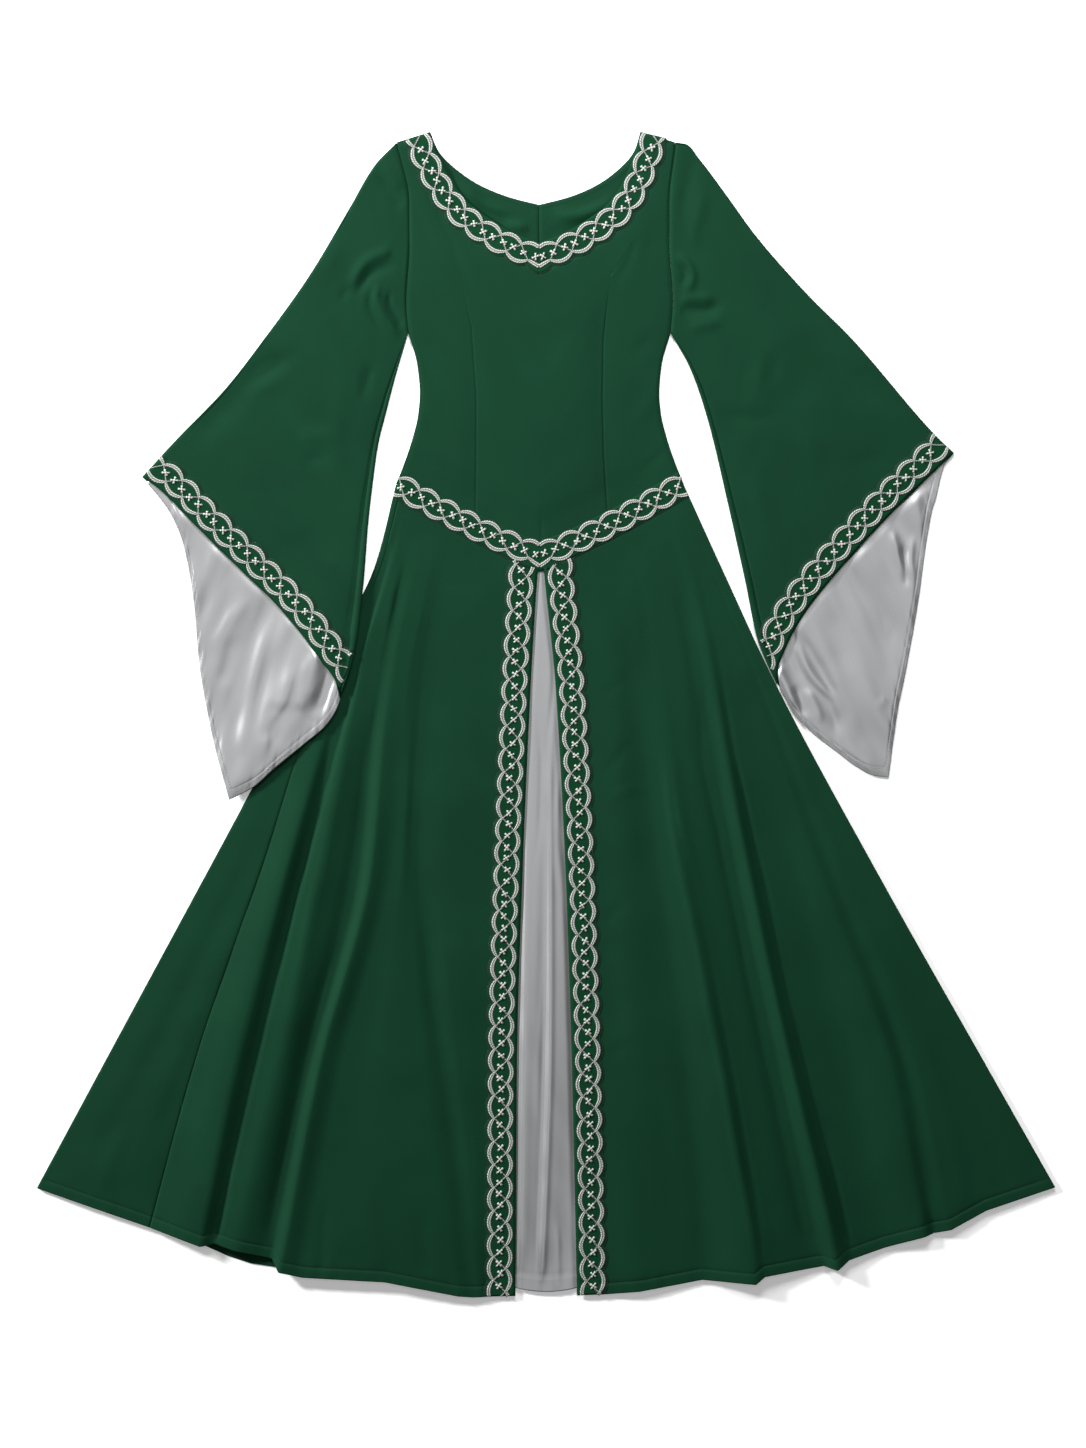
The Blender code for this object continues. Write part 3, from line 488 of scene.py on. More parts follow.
# each fold: its path, rise, half widths to the left and right, and the shares over which it swells
# and fades
bodiceFolds = [
    ([(-148, 734), (-138, 649), (-118, 604), (-109, 562)], -0.5, 5, 5, 0.4, 0.3),
    ([(122, 632), (107, 588), (86, 552)], -0.5, 5, 5, 0.4, 0.3),
    ([(-6, 272), (-6, 242), (-6, 226)], -0.5, 2.5, 2.5, 0.7, 0.1),
    ([(-160, 435), (-148, 398), (-122, 367)], 0.7, 9, 7, 0.4, 0.6),
    ([(-162, 393), (-143, 357), (-112, 341)], -0.7, 7, 8, 0.4, 0.6),
    ([(142, 428), (129, 393), (103, 370)], 0.7, 8, 9, 0.4, 0.6),
    ([(-164, 500), (-138, 471), (-101, 458)], -0.8, 9, 9, 0.4, 0.7),
    ([(142, 506), (122, 474), (86, 458)], -0.8, 9, 9, 0.4, 0.7),
    ([(-174, 656), (-157, 623), (-143, 575)], -0.6, 8, 10, 0.5, 0.5),
    ([(148, 649), (135, 610), (122, 565)], -0.6, 10, 8, 0.5, 0.5),
    ([(-60, 539), (-21, 515), (31, 521), (60, 539)], 0.6, 16, 18, 0.5, 0.5),
    ([(-177, 344), (-151, 328), (-118, 305)], -0.6, 5, 6, 0.3, 0.6),
    ([(159, 349), (138, 328), (112, 310)], -0.6, 6, 5, 0.3, 0.6),
]


def bodiceBackGrid(side):
    shares = spread(bodice["backColumns"], 130.0)
    neck = along(placed(backNeck, side), shares)
    neck[-1, 0] += side * bodice["centreGap"]
    outer = bodiceOutline(side, neckTop, bodice["backRows"])
    # the outer edge is drawn up to the front's, but not along the armhole
    shoulderEnd, armholeRows = bodice["backRows"][:2]
    armholeEnd = shoulderEnd + armholeRows - 1
    drawnUp = np.ones(len(outer))
    drawnUp[shoulderEnd:armholeEnd] = 0.0
    drawnUp[armholeEnd:armholeEnd + 4] = ease(np.linspace(0, 1, 6)[1:5])
    innerEnd = centreX(waistSide[1]) + side * bodice["centreGap"]
    centre = along([neck[-1], (innerEnd, waistSide[1])], len(outer))
    bottom = along([outer[-1], centre[-1]], shares)
    flat = patch(neck, bottom, outer, centre)
    grid = raised(flat, backZ)
    away = distances(flat[len(flat) // 2])
    grid[:, :, 2] += drawnUp[:, None] * (sideZ - backZ) * (1 - np.clip(away / 5.0, 0, 1))[None]
    # the neck's turned edge, with its sewn groove, and the centre seam
    below = distances(flat[:, len(shares) // 2])[:, None]
    grid[:, :, 2] += 0.9 * np.exp(-((below - 2) / 3.5) ** 2)
    uneven(grid, 40.0, 0.5, 8.0 + side)
    crease(grid, backNeckFolds)
    grid[:, :, 2] += 0.9 - 0.8 * np.exp(-((below - bodice["neckStitches"]) / 1.3) ** 2)
    grid[:, -1, 2] -= 0.9
    return levelled(grid, backZ)


backNeckFolds = [
    ([(-99, 682), (-70, 651), (-29, 627)], -3.4, 8, 8, 0.4, 0.4),
    ([(-122, 700), (-78, 661), (-34, 645)], 4.6, 6, 7, 0.4, 0.4),
    ([(-60, 640), (-39, 635), (-21, 632)], 4.6, 6, 7, 0.4, 0.3),
    ([(-4, 627), (26, 622), (60, 635), (94, 658)], -3.6, 7, 8, 0.3, 0.4),
    ([(3, 653), (34, 648), (65, 656), (99, 682)], 4.8, 7, 8, 0.3, 0.4),
    ([(18, 617), (57, 622), (86, 640)], 3.8, 5, 5, 0.4, 0.4),
]


bodiceFront = bodiceFrontGrid()
bodiceBackLeft = bodiceBackGrid(-1)
bodiceBackRight = bodiceBackGrid(1)
print("bodice grids made")


# Skirt

skirt = {
    "cloth": 0.9,
    "cell": 4.6,  # width of the grid's cells at the hem
    "rows": 190,
    "hemDepth": 14.0,  # stitching above the hem's edge
    "seamRoll": (0.7, 2.5),  # the side seam's two edges turn down this far, over this width
    "levels": [190.0, 40.0, -200.0, -450.0],  # heights at which the lines give their places x1 to x4
    "foldsStart": 26.0, "foldsGrow": 60.0,  # below the waist seam
    "tuck": 0.8,  # from the waist seam's line down to the panels' first row
    "ribbonRows": 4,  # of the grid, under the waist ribbon
}
# The skirt's lines, each a column of the panels. Their places are x at the waist seam, at the four
# levels and at the hem; the rises are above the front's own height, from the second level down
Line = namedtuple("Line", "waist x1 x2 x3 x4 hem hemY rise2 rise3 rise4 riseHem")
leftOutline = Line(-195.2, -223.6, -308.4, -438.0, -573.0, -661.7, -614.9, 0, 0, 0, 0)
goreMiddle = Line(-190.6, -219.0, -299.0, -403.0, -512.0, -588.0, -644.0, 0.0, 1.5, 2.5, 2.5)
sideSeam = Line(-188.0, -215.4, -290.2, -370.0, -456.0, -514.8, -666.3, 0.0, 1.5, 2.0, 2.0)
# after the side seam: the outer fold, the middle fold and the broad front fold, each with the
# valley or shoulder beside it, the panel's middle, two soft folds, and the ribbon's two edges
leftPanel = [
    sideSeam,
    Line(-185.0, -214.0, -268.0, -336.0, -402.0, -449.0, -690.5, 0.3, 11.0, 12.6, 10.8),
    Line(-181.0, -207.5, -256.0, -317.0, -372.0, -430.0, -687.5, 0, 4.0, 5.4, 4.4),
    Line(-174.0, -200.0, -248.0, -296.0, -346.0, -404.0, -696.7, 3.0, 8.2, 9.4, 7.6),
    Line(-162.5, -184.0, -218.0, -239.0, -302.0, -356.0, -707.0, 1.5, 0.3, 0.2, 0.2),
    Line(-150.8, -170.3, -206.0, -228.5, -294.0, -347.0, -724.1, 4.6, 10.0, 11.4, 11.0),
    Line(-137.8, -151.4, -181.0, -201.0, -264.0, -317.0, -730.9, 4.0, 6.2, 7.2, 6.8),
    Line(-128.0, -143.0, -172.0, -188.0, -215.8, -209.3, -737.1, 3.0, 6.0, 7.3, 6.5),
    Line(-118.3, -132.6, -160.2, -174.5, -158.6, -114.4, -755.5, 1.5, 3.5, 5.0, 5.0),
    Line(-107.9, -118.3, -141.7, -163.8, -133.9, -96.2, -757.0, 1.0, 2.0, 2.6, 2.6),
    Line(-92.3, -101.4, -115.7, -133.9, -111.8, -84.5, -756.6, 1.0, 2.5, 3.0, 2.6),
    Line(-45.5, -47.8, -54.2, -64.7, -72.2, -75.0, -756.3, 0, 0, 0, 0),
    Line(-8.6, -10.4, -19.8, -30.3, -37.7, -39.7, -755.4, 0, 0, 0, 0),
]
# from the ribbon's two edges: a soft fold, the first fold, the narrow roll with its two feet,
# the outer panel, the outer fold, the last fold and the rim
rightPanel = [
    Line(-3.8, -2.6, 12.4, 25.4, 33.8, 40.3, -754.7, 0, 0, 0, 0),
    Line(33.2, 34.8, 46.8, 59.8, 68.3, 75.4, -753.4, 0, 0, 0, 0),
    Line(57.2, 67.6, 84.5, 104.0, 114.4, 122.2, -749.5, 1.5, 2.5, 3.0, 3.0),
    Line(83.2, 98.8, 117.0, 143.0, 175.5, 202.8, -734.5, 0.5, 0.5, 0, 0),
    Line(106.6, 126.1, 149.5, 182.8, 226.9, 272.3, -739.7, 1.8, 7.4, 10.4, 12.0),
    Line(114.4, 135.2, 161.2, 197.6, 240.5, 284.1, -730.0, 1.2, 5.0, 7.2, 8.4),
    Line(128.7, 153.4, 185.9, 223.6, 269.1, 320.2, -723.5, 0.8, 2.4, 3.6, 4.2),
    Line(139.1, 172.9, 205.1, 247.4, 301.7, 361.0, -716.3, 0.3, 0.2, 0.2, 0.2),
    Line(146.9, 187.2, 218.9, 262.8, 317.6, 378.5, -721.5, 3.0, 8.0, 11.0, 12.0),
    Line(153.4, 196.3, 228.8, 275.0, 331.6, 393.8, -708.5, 1.2, 3.0, 4.0, 4.5),
    Line(159.9, 204.1, 249.6, 317.2, 382.2, 440.7, -692.3, 0.5, 0.8, 0.4, 0.6),
    Line(165.1, 210.6, 267.8, 353.6, 444.6, 491.4, -678.6, 0.5, 2.8, 5.4, 6.2),
    Line(169.0, 214.5, 275.6, 367.9, 462.8, 503.8, -673.6, 0, 0.5, 1.0, 1.0),
    Line(172.9, 218.4, 282.8, 384.8, 482.3, 526.0, -669.5, 0.3, 1.5, 3.0, 4.0),
    Line(176.0, 223.3, 290.6, 403.6, 520.0, 572.0, -644.5, 0, 0.5, 1.0, 1.5),
    Line(178.8, 228.4, 298.3, 427.4, 568.5, 661.7, -614.3, 0, 0, 0, 0),
]
backHem = [(-661.7, -614.9), (-612.0, -633.0), (-525.0, -659.0), (-450.0, -688.0), (-432.0, -694.5),
            (-405.0, -707.5), (-388.0, -712.5), (-356.0, -718.0), (-320.0, -719.0), (-112.0, -742.0),
            (0.0, -734.0), (96.0, -739.0), (200.0, -724.0), (284.0, -720.0), (385.0, -698.0),
            (500.0, -664.0), (603.0, -628.0), (661.7, -614.3)]


def linePoints(line, shares):
    # a line from the waist seam to the hem: places and heights
    seam = waistY(line.waist)
    topY = seam - skirt["tuck"]
    heights, places = [line.hemY, topY], [line.hem, line.waist]
    for level, place in zip(skirt["levels"], (line.x1, line.x2, line.x3, line.x4)):
        if level < topY - 12:
            heights.insert(1, level)
            places.insert(1, place)
    order = np.argsort(heights)
    ribbonY = seam - ribbonReach(line.waist) - 0.4
    y = np.concatenate([np.linspace(topY, ribbonY, skirt["ribbonRows"])[:-1],
                        ribbonY + (line.hemY - ribbonY) * shares])
    x = smooth(np.array(heights)[order], np.array(places)[order], y)
    riseAt = np.array([line.hemY, *skirt["levels"][:0:-1], 300.0])
    rise = smooth(riseAt, [line.riseHem, line.rise4, line.rise3, line.rise2, 0.0], y)
    return np.column_stack([x, y, rise * ease((seam - skirt["foldsStart"] - y) / skirt["foldsGrow"])])


# the rows from the ribbon to the hem, with close ones at the hem's stitches
hemShares = spread(skirt["rows"], 960.0, 1.4,
                   [1 - (skirt["hemDepth"] + k) / 975 for k in (-2.2, -1.0, 0.0, 1.0, 2.2)])


def skirtGrid(lines, shares):
    # a panel between its lines, with columns at even steps along the hem
    down = np.array([linePoints(line, shares) for line in lines])
    steps = [max(2, round(abs(b.hem - a.hem) / skirt["cell"])) for a, b in zip(lines[:-1], lines[1:])]
    places = np.concatenate([[0.0]] + [i + np.arange(1, n + 1) / n for i, n in enumerate(steps)])
    edge = 0.03  # share of a part, for the narrow cells at both ends
    places = np.sort(np.concatenate([places, [edge, len(steps) - edge]]))
    grid = []
    for r in range(down.shape[1]):
        knots = down[:, r, 0]
        x = np.interp(places, np.arange(len(lines)), knots)
        y = np.interp(places, np.arange(len(lines)), down[:, r, 1])
        grid.append(np.column_stack([x, y, frontZ + smooth(knots, down[:, r, 2], x)]))
    return np.array(grid)


def fromHem(grid):
    # each point's distance from the grid's last row, along its column
    above = np.cumsum(np.linalg.norm(np.diff(grid[::-1], axis=0), axis=2), axis=0)[::-1]
    return np.concatenate([above, np.zeros((1, grid.shape[1]))])


def hemmed(grid, seed, depth=14.0, pucker=0.5, size=11.0, groove=0.6):
    # the folded hem: a sewn groove, a second layer below it, and small puckers across it
    secondLayer, grooveWidth, fading, tall = 0.35, 1.4, 9, 45.0
    above = fromHem(grid)
    place = distances(grid[-1])
    grid[:, :, 2] += secondLayer * ease((depth - above) / 3)
    grid[:, :, 2] -= groove * np.exp(-((above - depth) / grooveWidth) ** 2)
    for r in np.flatnonzero(above.min(axis=1) < depth + 26):
        for c in range(grid.shape[1]):
            swell = math.exp(-(max(0.0, above[r, c] - depth) / fading) ** 2)
            wave = noise.noise(Vector((place[c] / size, above[r, c] / tall, seed)))
            ripple = noise.noise(Vector((place[c] / size * 2.3, 0.0, seed + 4)))
            grid[r, c, 2] += pucker * swell * (wave + 0.5 * ripple)
    return grid


def wrinkled(grid, lean, across, lengthwise, rise, seed):
    # fine soft wrinkles that run at an angle to X
    c, s = math.cos(lean), math.sin(lean)
    for row in grid:
        for point in row:
            u, v = (point[0] * c + point[1] * s) / lengthwise, (point[1] * c - point[0] * s) / across
            point[2] += rise * noise.noise(Vector((u, v, seed)))
    return grid


leftSkirtFolds = [
    # the sharp foot of the outer fold
    ([(-202, 227), (-226, 146), (-243, 92), (-252, 37), (-269, -25), (-287, -94), (-308, -170),
     (-328, -241), (-344, -306), (-360, -371), (-377, -436), (-393, -501), (-407, -566), (-420, -631),
      (-433, -688)], -6.5, 4, 9, 0.05, 0.02),
    # the narrow roll beside it
    ([(-250, 19), (-261, -46), (-277, -124), (-292, -200), (-304, -248), (-322, -345), (-338, -430),
     (-356, -501)], 1.8, 10, 5, 0.2, 0.5),
    # the front fold's start, its deep foot and its crest
    ([(-182, 201), (-194, 149), (-204, 90), (-213, 32), (-224, -33), (-234, -105)], -2.5, 7, 4, 0.2, 0.4),
    ([(-217, 32), (-224, -46), (-234, -150), (-246, -228), (-260, -291), (-283, -362), (-306, -436),
     (-324, -527), (-341, -625), (-351, -696)], -5.0, 3.5, 13, 0.2, 0.05),
    ([(-200, 84), (-208, 16), (-214, -46), (-222, -124), (-228, -200), (-237, -248), (-252, -306),
     (-273, -378), (-292, -436), (-312, -534), (-329, -625), (-344, -713)], 1.4, 13, 6, 0.2, 0.08),
    # soft runs on the flat of the panel
    ([(-190, 201), (-200, 123), (-205, 45)], 1.2, 10, 12, 0.3, 0.6),
    ([(-174, -177), (-153, -245), (-148, -349), (-133, -452), (-118, -556), (-105, -645),
     (-95, -704)], -1.8, 14, 10, 0.25, 0.15),
    ([(-148, -215), (-130, -319), (-122, -423), (-101, -540), (-86, -670)], 1.0, 12, 12, 0.3, 0.3),
    ([(-138, 201), (-148, 71), (-164, -59), (-185, -189)], -0.9, 18, 22, 0.3, 0.5),
    ([(-99, 149), (-105, 19), (-122, -111), (-138, -241)], 0.8, 20, 16, 0.3, 0.5),
    ([(-200, -241), (-226, -371), (-247, -501), (-263, -631)], -1.0, 22, 24, 0.3, 0.3),
    ([(-242, -605), (-226, -670), (-216, -720)], 0.7, 12, 12, 0.4, 0.1),
    ([(-164, -638), (-159, -683), (-156, -725)], -0.8, 10, 10, 0.4, 0.05),
    ([(-281, -618), (-289, -670), (-291, -725)], -0.9, 8, 8, 0.4, 0.05),
    ([(-60, 97), (-78, 32), (-99, -20)], 0.5, 7, 9, 0.3, 0.7),
    ([(-66, -150), (-91, -205), (-114, -241)], -0.5, 8, 8, 0.3, 0.7),
    ([(-75, -384), (-99, -431), (-117, -488)], 0.5, 9, 8, 0.3, 0.7),
]
rightSkirtFolds = [
    # the narrow start, crest and foot of the first fold
    ([(153, -36), (160, -111), (170, -176), (185, -248), (200, -319), (212, -391), (229, -466),
     (244, -556), (263, -644), (278, -730)], 2.6, 13, 5, 0.15, 0.08),
    ([(160, -70), (166, -127), (182, -184), (198, -254), (214, -332), (228, -404), (243, -482),
     (257, -560), (272, -638), (283, -720)], -1.5, 4, 12, 0.1, 0.06),
    # the narrow roll: its crest, and the dark foot on its far side
    ([(196, 162), (214, 77), (229, -40), (240, -109), (254, -163), (268, -232), (295, -370), (312, -439),
     (332, -521), (352, -590), (369, -658), (381, -712)], 1.8, 9, 6, 0.4, 0.06),
    ([(204, 149), (224, 77), (240, -33), (254, -98), (266, -161), (281, -223), (309, -370), (326, -436),
     (348, -521), (368, -590), (384, -658), (394, -704)], -2.8, 3.5, 8, 0.45, 0.04),
    ([(200, 84), (213, -46), (231, -137), (254, -241), (274, -339), (295, -436), (317, -534),
     (339, -631), (352, -696)], -4.5, 3.5, 14, 0.25, 0.05),
    # the outer fold and the last one
    ([(390, -306), (411, -358), (433, -404), (455, -456), (471, -501), (486, -566),
     (498, -670)], 1.2, 13, 8, 0.3, 0.08),
    ([(421, -352), (450, -410), (476, -475), (489, -540), (499, -592), (508, -651)], -1.0, 7, 10, 0.3, 0.2),
    ([(467, -371), (502, -462), (525, -540), (541, -618), (546, -651)], 0.7, 12, 10, 0.4, 0.1),
    # soft runs
    ([(122, 201), (133, 97), (142, 19)], -1.0, 14, 12, 0.3, 0.4),
    ([(169, 188), (187, 84), (203, -33)], -1.2, 10, 8, 0.3, 0.4),
    ([(86, 149), (94, 19), (107, -137), (122, -280)], 0.9, 16, 18, 0.3, 0.4),
    ([(70, -241), (90, -371), (107, -501), (122, -631), (135, -722)], -0.8, 18, 20, 0.3, 0.1),
    ([(148, -371), (164, -488), (179, -605), (190, -720)], 0.9, 16, 16, 0.3, 0.1),
    ([(291, -111), (330, -241), (372, -371), (403, -501), (426, -631)], -1.4, 20, 24, 0.3, 0.15),
    ([(278, 97), (324, -33), (369, -150)], 0.9, 18, 20, 0.4, 0.5),
    ([(356, -85), (421, -215), (486, -345)], 0.9, 16, 18, 0.4, 0.4),
    ([(532, -449), (571, -540), (603, -618)], -0.7, 14, 14, 0.4, 0.1),
    # short pulls from the front ribbon
    ([(75, -79), (99, -49), (125, -27)], -0.7, 6, 7, 0.2, 0.7),
    ([(78, -111), (109, -98), (148, -90)], 0.6, 7, 6, 0.2, 0.6),
    ([(73, -274), (99, -248), (130, -231)], -0.6, 7, 7, 0.2, 0.7),
    ([(75, -449), (103, -431), (135, -423)], -0.5, 7, 7, 0.2, 0.7),
    ([(70, 19), (94, 40), (117, 50)], -0.5, 6, 6, 0.2, 0.7),
]
goreFolds = [
    ([(-320, -98), (-369, -202), (-416, -306), (-455, -397), (-502, -501),
     (-549, -618)], 0.9, 12, 16, 0.3, 0.2),
    ([(-369, -163), (-432, -280), (-491, -397), (-543, -501), (-598, -605)], -0.8, 14, 14, 0.3, 0.2),
    ([(-476, -527), (-495, -592), (-504, -651)], -0.8, 12, 10, 0.3, 0.05),
    ([(-541, -527), (-567, -586), (-582, -638)], 0.6, 10, 12, 0.3, 0.05),
]


def skirtFrontGrids():
    left = skirtGrid(leftPanel, hemShares)
    left[:, 0, 0] += 0.3
    crease(left, leftSkirtFolds)
    uneven(left, 80.0, 0.8, 1.7)
    hemmed(left, 4.4)
    rolled(left, "left", *skirt["seamRoll"])
    right = skirtGrid(rightPanel, hemShares)
    crease(right, rightSkirtFolds)
    uneven(right, 80.0, 0.8, 5.9)
    hemmed(right, 7.2)
    return levelled(left, frontZ - 0.6), levelled(right, frontZ - 0.6)


def bendRows(centre, outward, angles):
    # cloth carried round an edge, from the layer below to the one above
    runs = []
    for angle in angles:
        place = centre + bendRadius * math.cos(angle) * outward
        tall = np.full((len(centre), 1), (backZ + frontZ) / 2 + bendRadius * math.sin(angle))
        runs.append(np.hstack([place, tall]))
    return np.stack(runs, axis=1)


def skirtBackGrid():
    # the panel on the floor, the bend round its left edge, and the strip on the front to the side seam
    left = linePoints(leftOutline, hemShares)[:, :2]
    right = linePoints(rightPanel[-1], hemShares)[:, :2] - [0.6, 0]
    outward = offset(left, 1.0) - left
    centre = left - bendInset * outward
    count = 44
    share = np.linspace(0, 1, count)
    hemX = (1 - share) * centre[-1, 0] + share * right[-1, 0]
    bottom = np.column_stack([hemX, smooth(*zip(*backHem), hemX)])
    bottom[0], bottom[-1] = centre[-1], right[-1]
    flat = patch(along([centre[0], right[0]], count), bottom, centre, right)
    flat = np.concatenate([flat[:, :-1], flat[:, -1:] - [5.0, 0.0], flat[:, -1:]], axis=1)
    floor = raised(flat, backZ)
    floor[:, -1, 2] = sideZ
    crease(floor, backFolds)
    levelled(floor, backZ)
    bend = bendRows(centre, outward, np.radians([-60, -30, 0, 30, 60, 80]))
    gore = skirtGrid([leftOutline, goreMiddle, sideSeam], hemShares)[:, 2:]
    share = (gore[:, :, :1] - gore[:, :1, :1]) / (gore[:, -1:, :1] - gore[:, :1, :1])
    begin = (centre - 0.9 * outward)[:, None]
    gore[:, :, :2] = begin + share * (gore[:, -1:, :2] - begin)
    crease(gore, goreFolds)
    uneven(gore, 70.0, 0.4, 9.3)
    hemmed(gore, 2.2)
    rolled(gore, "right", *skirt["seamRoll"])
    levelled(gore, frontZ - 0.5)
    return np.concatenate([floor[:, ::-1], bend, gore], axis=1)


# shallow folds in the back panel, which rises a little off the floor under the front's folds
backFolds = [
    ([(-150.0, 120.0), (-260.0, -240.0), (-350.0, -600.0)], 1.1, 16, 16, 0.3, 0.2),
    ([(-60.0, 200.0), (-110.0, -200.0), (-150.0, -620.0)], 0.9, 14, 18, 0.3, 0.2),
    ([(60.0, 180.0), (110.0, -160.0), (190.0, -600.0)], 1.0, 18, 14, 0.3, 0.2),
    ([(130.0, 140.0), (290.0, -200.0), (430.0, -560.0)], 1.1, 15, 17, 0.3, 0.2),
]


# Satin panel behind the open front

inset = {
    "cloth": 0.7,
    "under": 15.0,  # reach under each front edge
    "hem": (-741.5, -750.0),  # height of its hem at the edges and in the middle
    "columns": 46,
    "lift": 1.6,  # above the satin's layer, where it lies free
    "wrinkles": (-1.1, 26.0, 110.0, 0.7, 7.9),  # lean, widths across and along, rise and seed
}
insetFolds = [
    # the long narrow crest, and two ridges that fall away gently to the right
    ([(4, 97), (5, -59), (6, -189), (6, -319), (5, -449), (1, -579), (-6, -743)], 1.6, 4.5, 4.5, 0.3, 0.03),
    ([(8, -59), (6, -189), (6, -319), (5, -449), (1, -579), (-6, -743)], 4.6, 24, 4.5, 0.7, 0.1),
    ([(-21, -59), (-25, -241), (-27, -371), (-30, -501), (-32, -631), (-35, -743)], 5.0, 17, 4, 0.7, 0.1),
    ([(-9, -7), (-10, -163), (-12, -319), (-13, -475), (-14, -631), (-17, -740)], 0.5, 6.0, 6.0, 0.4, 0.05),
    ([(13, 97), (9, 32), (3, -33), (0, -111)], -0.8, 3.5, 4.0, 0.4, 0.4),
    ([(-16, 19), (-6, -59), (-8, -137), (-16, -215)], -0.7, 4.0, 4.0, 0.4, 0.4),
    ([(18, -59), (14, -150), (18, -241)], 0.8, 3.5, 4.0, 0.4, 0.4),
    ([(0, -280), (-6, -384), (-10, -488), (-8, -605)], 0.5, 3.5, 4.0, 0.4, 0.4),
    ([(14, -651), (16, -696), (16, -746)], 0.7, 3.0, 3.5, 0.4, 0.03),
]


def insetGrid():
    # the first two rows lie hidden under the waist ribbon and are left out
    left = linePoints(leftPanel[-1], hemShares)[2:, :2]
    right = linePoints(rightPanel[0], hemShares)[2:, :2]
    columns = np.linspace(0, 1, inset["columns"])
    sideHem, middleHem = inset["hem"]
    hem = sideHem + (middleHem - sideHem) * np.sin(np.pi * columns)
    rows = []
    for a, b in zip(left, right):
        x = (a[0] - inset["under"]) + columns * (b[0] - a[0] + 2 * inset["under"])
        down = (a[1] - left[0, 1]) / (left[-1, 1] - left[0, 1])
        rows.append(np.column_stack([x, left[0, 1] + down * (hem - left[0, 1]), np.full(len(x), satinZ)]))
    grid = np.array(rows)
    crease(grid, insetFolds)
    wrinkled(grid, *inset["wrinkles"])
    # nothing stands up where the front panels lie on the satin
    clear = np.minimum(grid[:, :, 0] - left[:, None, 0], right[:, None, 0] - grid[:, :, 0])
    grid[:, :, 2] = satinZ + (grid[:, :, 2] + inset["lift"] - satinZ) * ease((clear + 2) / 9)
    hemmed(grid, 1.3, depth=20.0, pucker=0.7, groove=0.3)
    return levelled(grid, satinZ - 0.5)


skirtLeft, skirtRight = skirtFrontGrids()
skirtBack = skirtBackGrid()
skirtInset = insetGrid()
print("skirt grids made")


# Sleeves

sleeves = {
    "cloth": 0.9,
    "rows": 96, "ribbonRows": 9, "columns": 74, "backColumns": 22,  # of the grid
    "puff": [(0.0, 0.0), (0.15, 1.6), (0.5, 3.0), (0.85, 2.2), (1.0, 1.4)],  # down the sleeve: share and rise
    "creases": 1.5, "backCreases": 0.45,  # the folds' strength in the front and in the back
    "seamTaper": (0.06, 1.0, 1.0, 0.6, 0.08),  # the underarm strip's width, from the armhole to the hem
    "strip": [(0.12, -2.0), (0.3, 0.3), (0.55, 0.9), (0.8, 0.6), (1.0, -0.2)],  # across it: share and rise
    # the left sleeve's climb onto the skirt: its height, the reach past the skirt's edge over which
    # it rises, and the heights between which it grows
    "lift": 6.6, "liftFrom": -130.0, "liftTo": -6.0, "liftTop": 430.0, "liftFull": 200.0,
}
Sleeve = namedtuple("Sleeve", "side outer inner hem ribbonTop backHem seamWidth")
leftSleeve = Sleeve(
    side=-1,
    outer=[(-222.3, 714.4), (-256.1, 657.2), (-308.1, 570.1), (-366.6, 488.2), (-416.0, 424.5),
           (-482.3, 355.6), (-525.2, 308.8)],
    inner=[(-193.4, 447.9), (-207.0, 395.9), (-218.4, 349.1), (-225.5, 297.1), (-230.7, 250.3),
           (-236.6, 174.9), (-245.7, 96.9), (-254.8, 57.9), (-265.2, 29.3)],
    hem=[(-525.2, 308.8), (-501.8, 292.0), (-449.8, 239.9), (-387.4, 178.8), (-356.2, 148.9),
         (-314.6, 100.8), (-293.8, 72.2), (-278.2, 51.4), (-265.2, 29.3)],
    ribbonTop=[(-499.9, 335.4), (-473.9, 313.3), (-431.0, 271.7), (-386.8, 232.7), (-343.9, 193.7),
                (-314.0, 163.8), (-282.8, 128.7), (-263.0, 97.0)],
    backHem=[[(-525.2, 308.8), (-500.5, 280.2), (-483.6, 254.2), (-470.6, 220.4), (-457.6, 150.2),
               (-450.5, 70.9), (-434.2, -21.5), (-410.8, -109.9)],
              [(-410.8, -109.9), (-380.9, -94.3), (-354.9, -71.5), (-314.6, -38.4), (-284.7, -12.4),
               (-271.7, 8.5), (-265.2, 29.3)]],
    seamWidth=13.0)
rightSleeve = Sleeve(
    side=1,
    outer=[(181.0, 742.0), (200.2, 720.9), (235.3, 674.0), (273.0, 622.0), (339.3, 546.7),
           (397.8, 488.2), (508.3, 360.8), (530.4, 340.0)],
    inner=[(188.5, 447.9), (211.9, 377.7), (235.3, 279.5), (258.7, 174.9), (274.5, 99.5),
           (290.5, 59.2), (300.0, 39.7)],
    hem=[(530.4, 340.0), (501.8, 312.7), (460.2, 272.4), (418.6, 229.5), (377.0, 182.7),
         (345.8, 145.0), (325.0, 113.8), (309.4, 81.3), (301.6, 60.5), (300.0, 39.7)],
    ribbonTop=[(508.3, 358.8), (462.2, 328.9), (423.2, 287.3), (380.3, 232.7), (337.4, 185.9),
                (315.3, 154.7), (298.4, 133.9), (282.8, 102.1)],
    backHem=[[(530.4, 340.0), (517.4, 324.4), (507.0, 284.1), (500.5, 262.0), (491.4, 207.4),
               (484.9, 158.0), (466.1, 51.4), (457.6, 11.1), (444.6, -81.3)],
              [(444.6, -81.3), (425.1, -78.7), (404.3, -68.3), (378.3, -48.8), (351.0, -28.0),
               (330.5, -8.5), (322.5, 1.3), (307.5, 28.0), (300.0, 39.7)]],
    seamWidth=14.0)


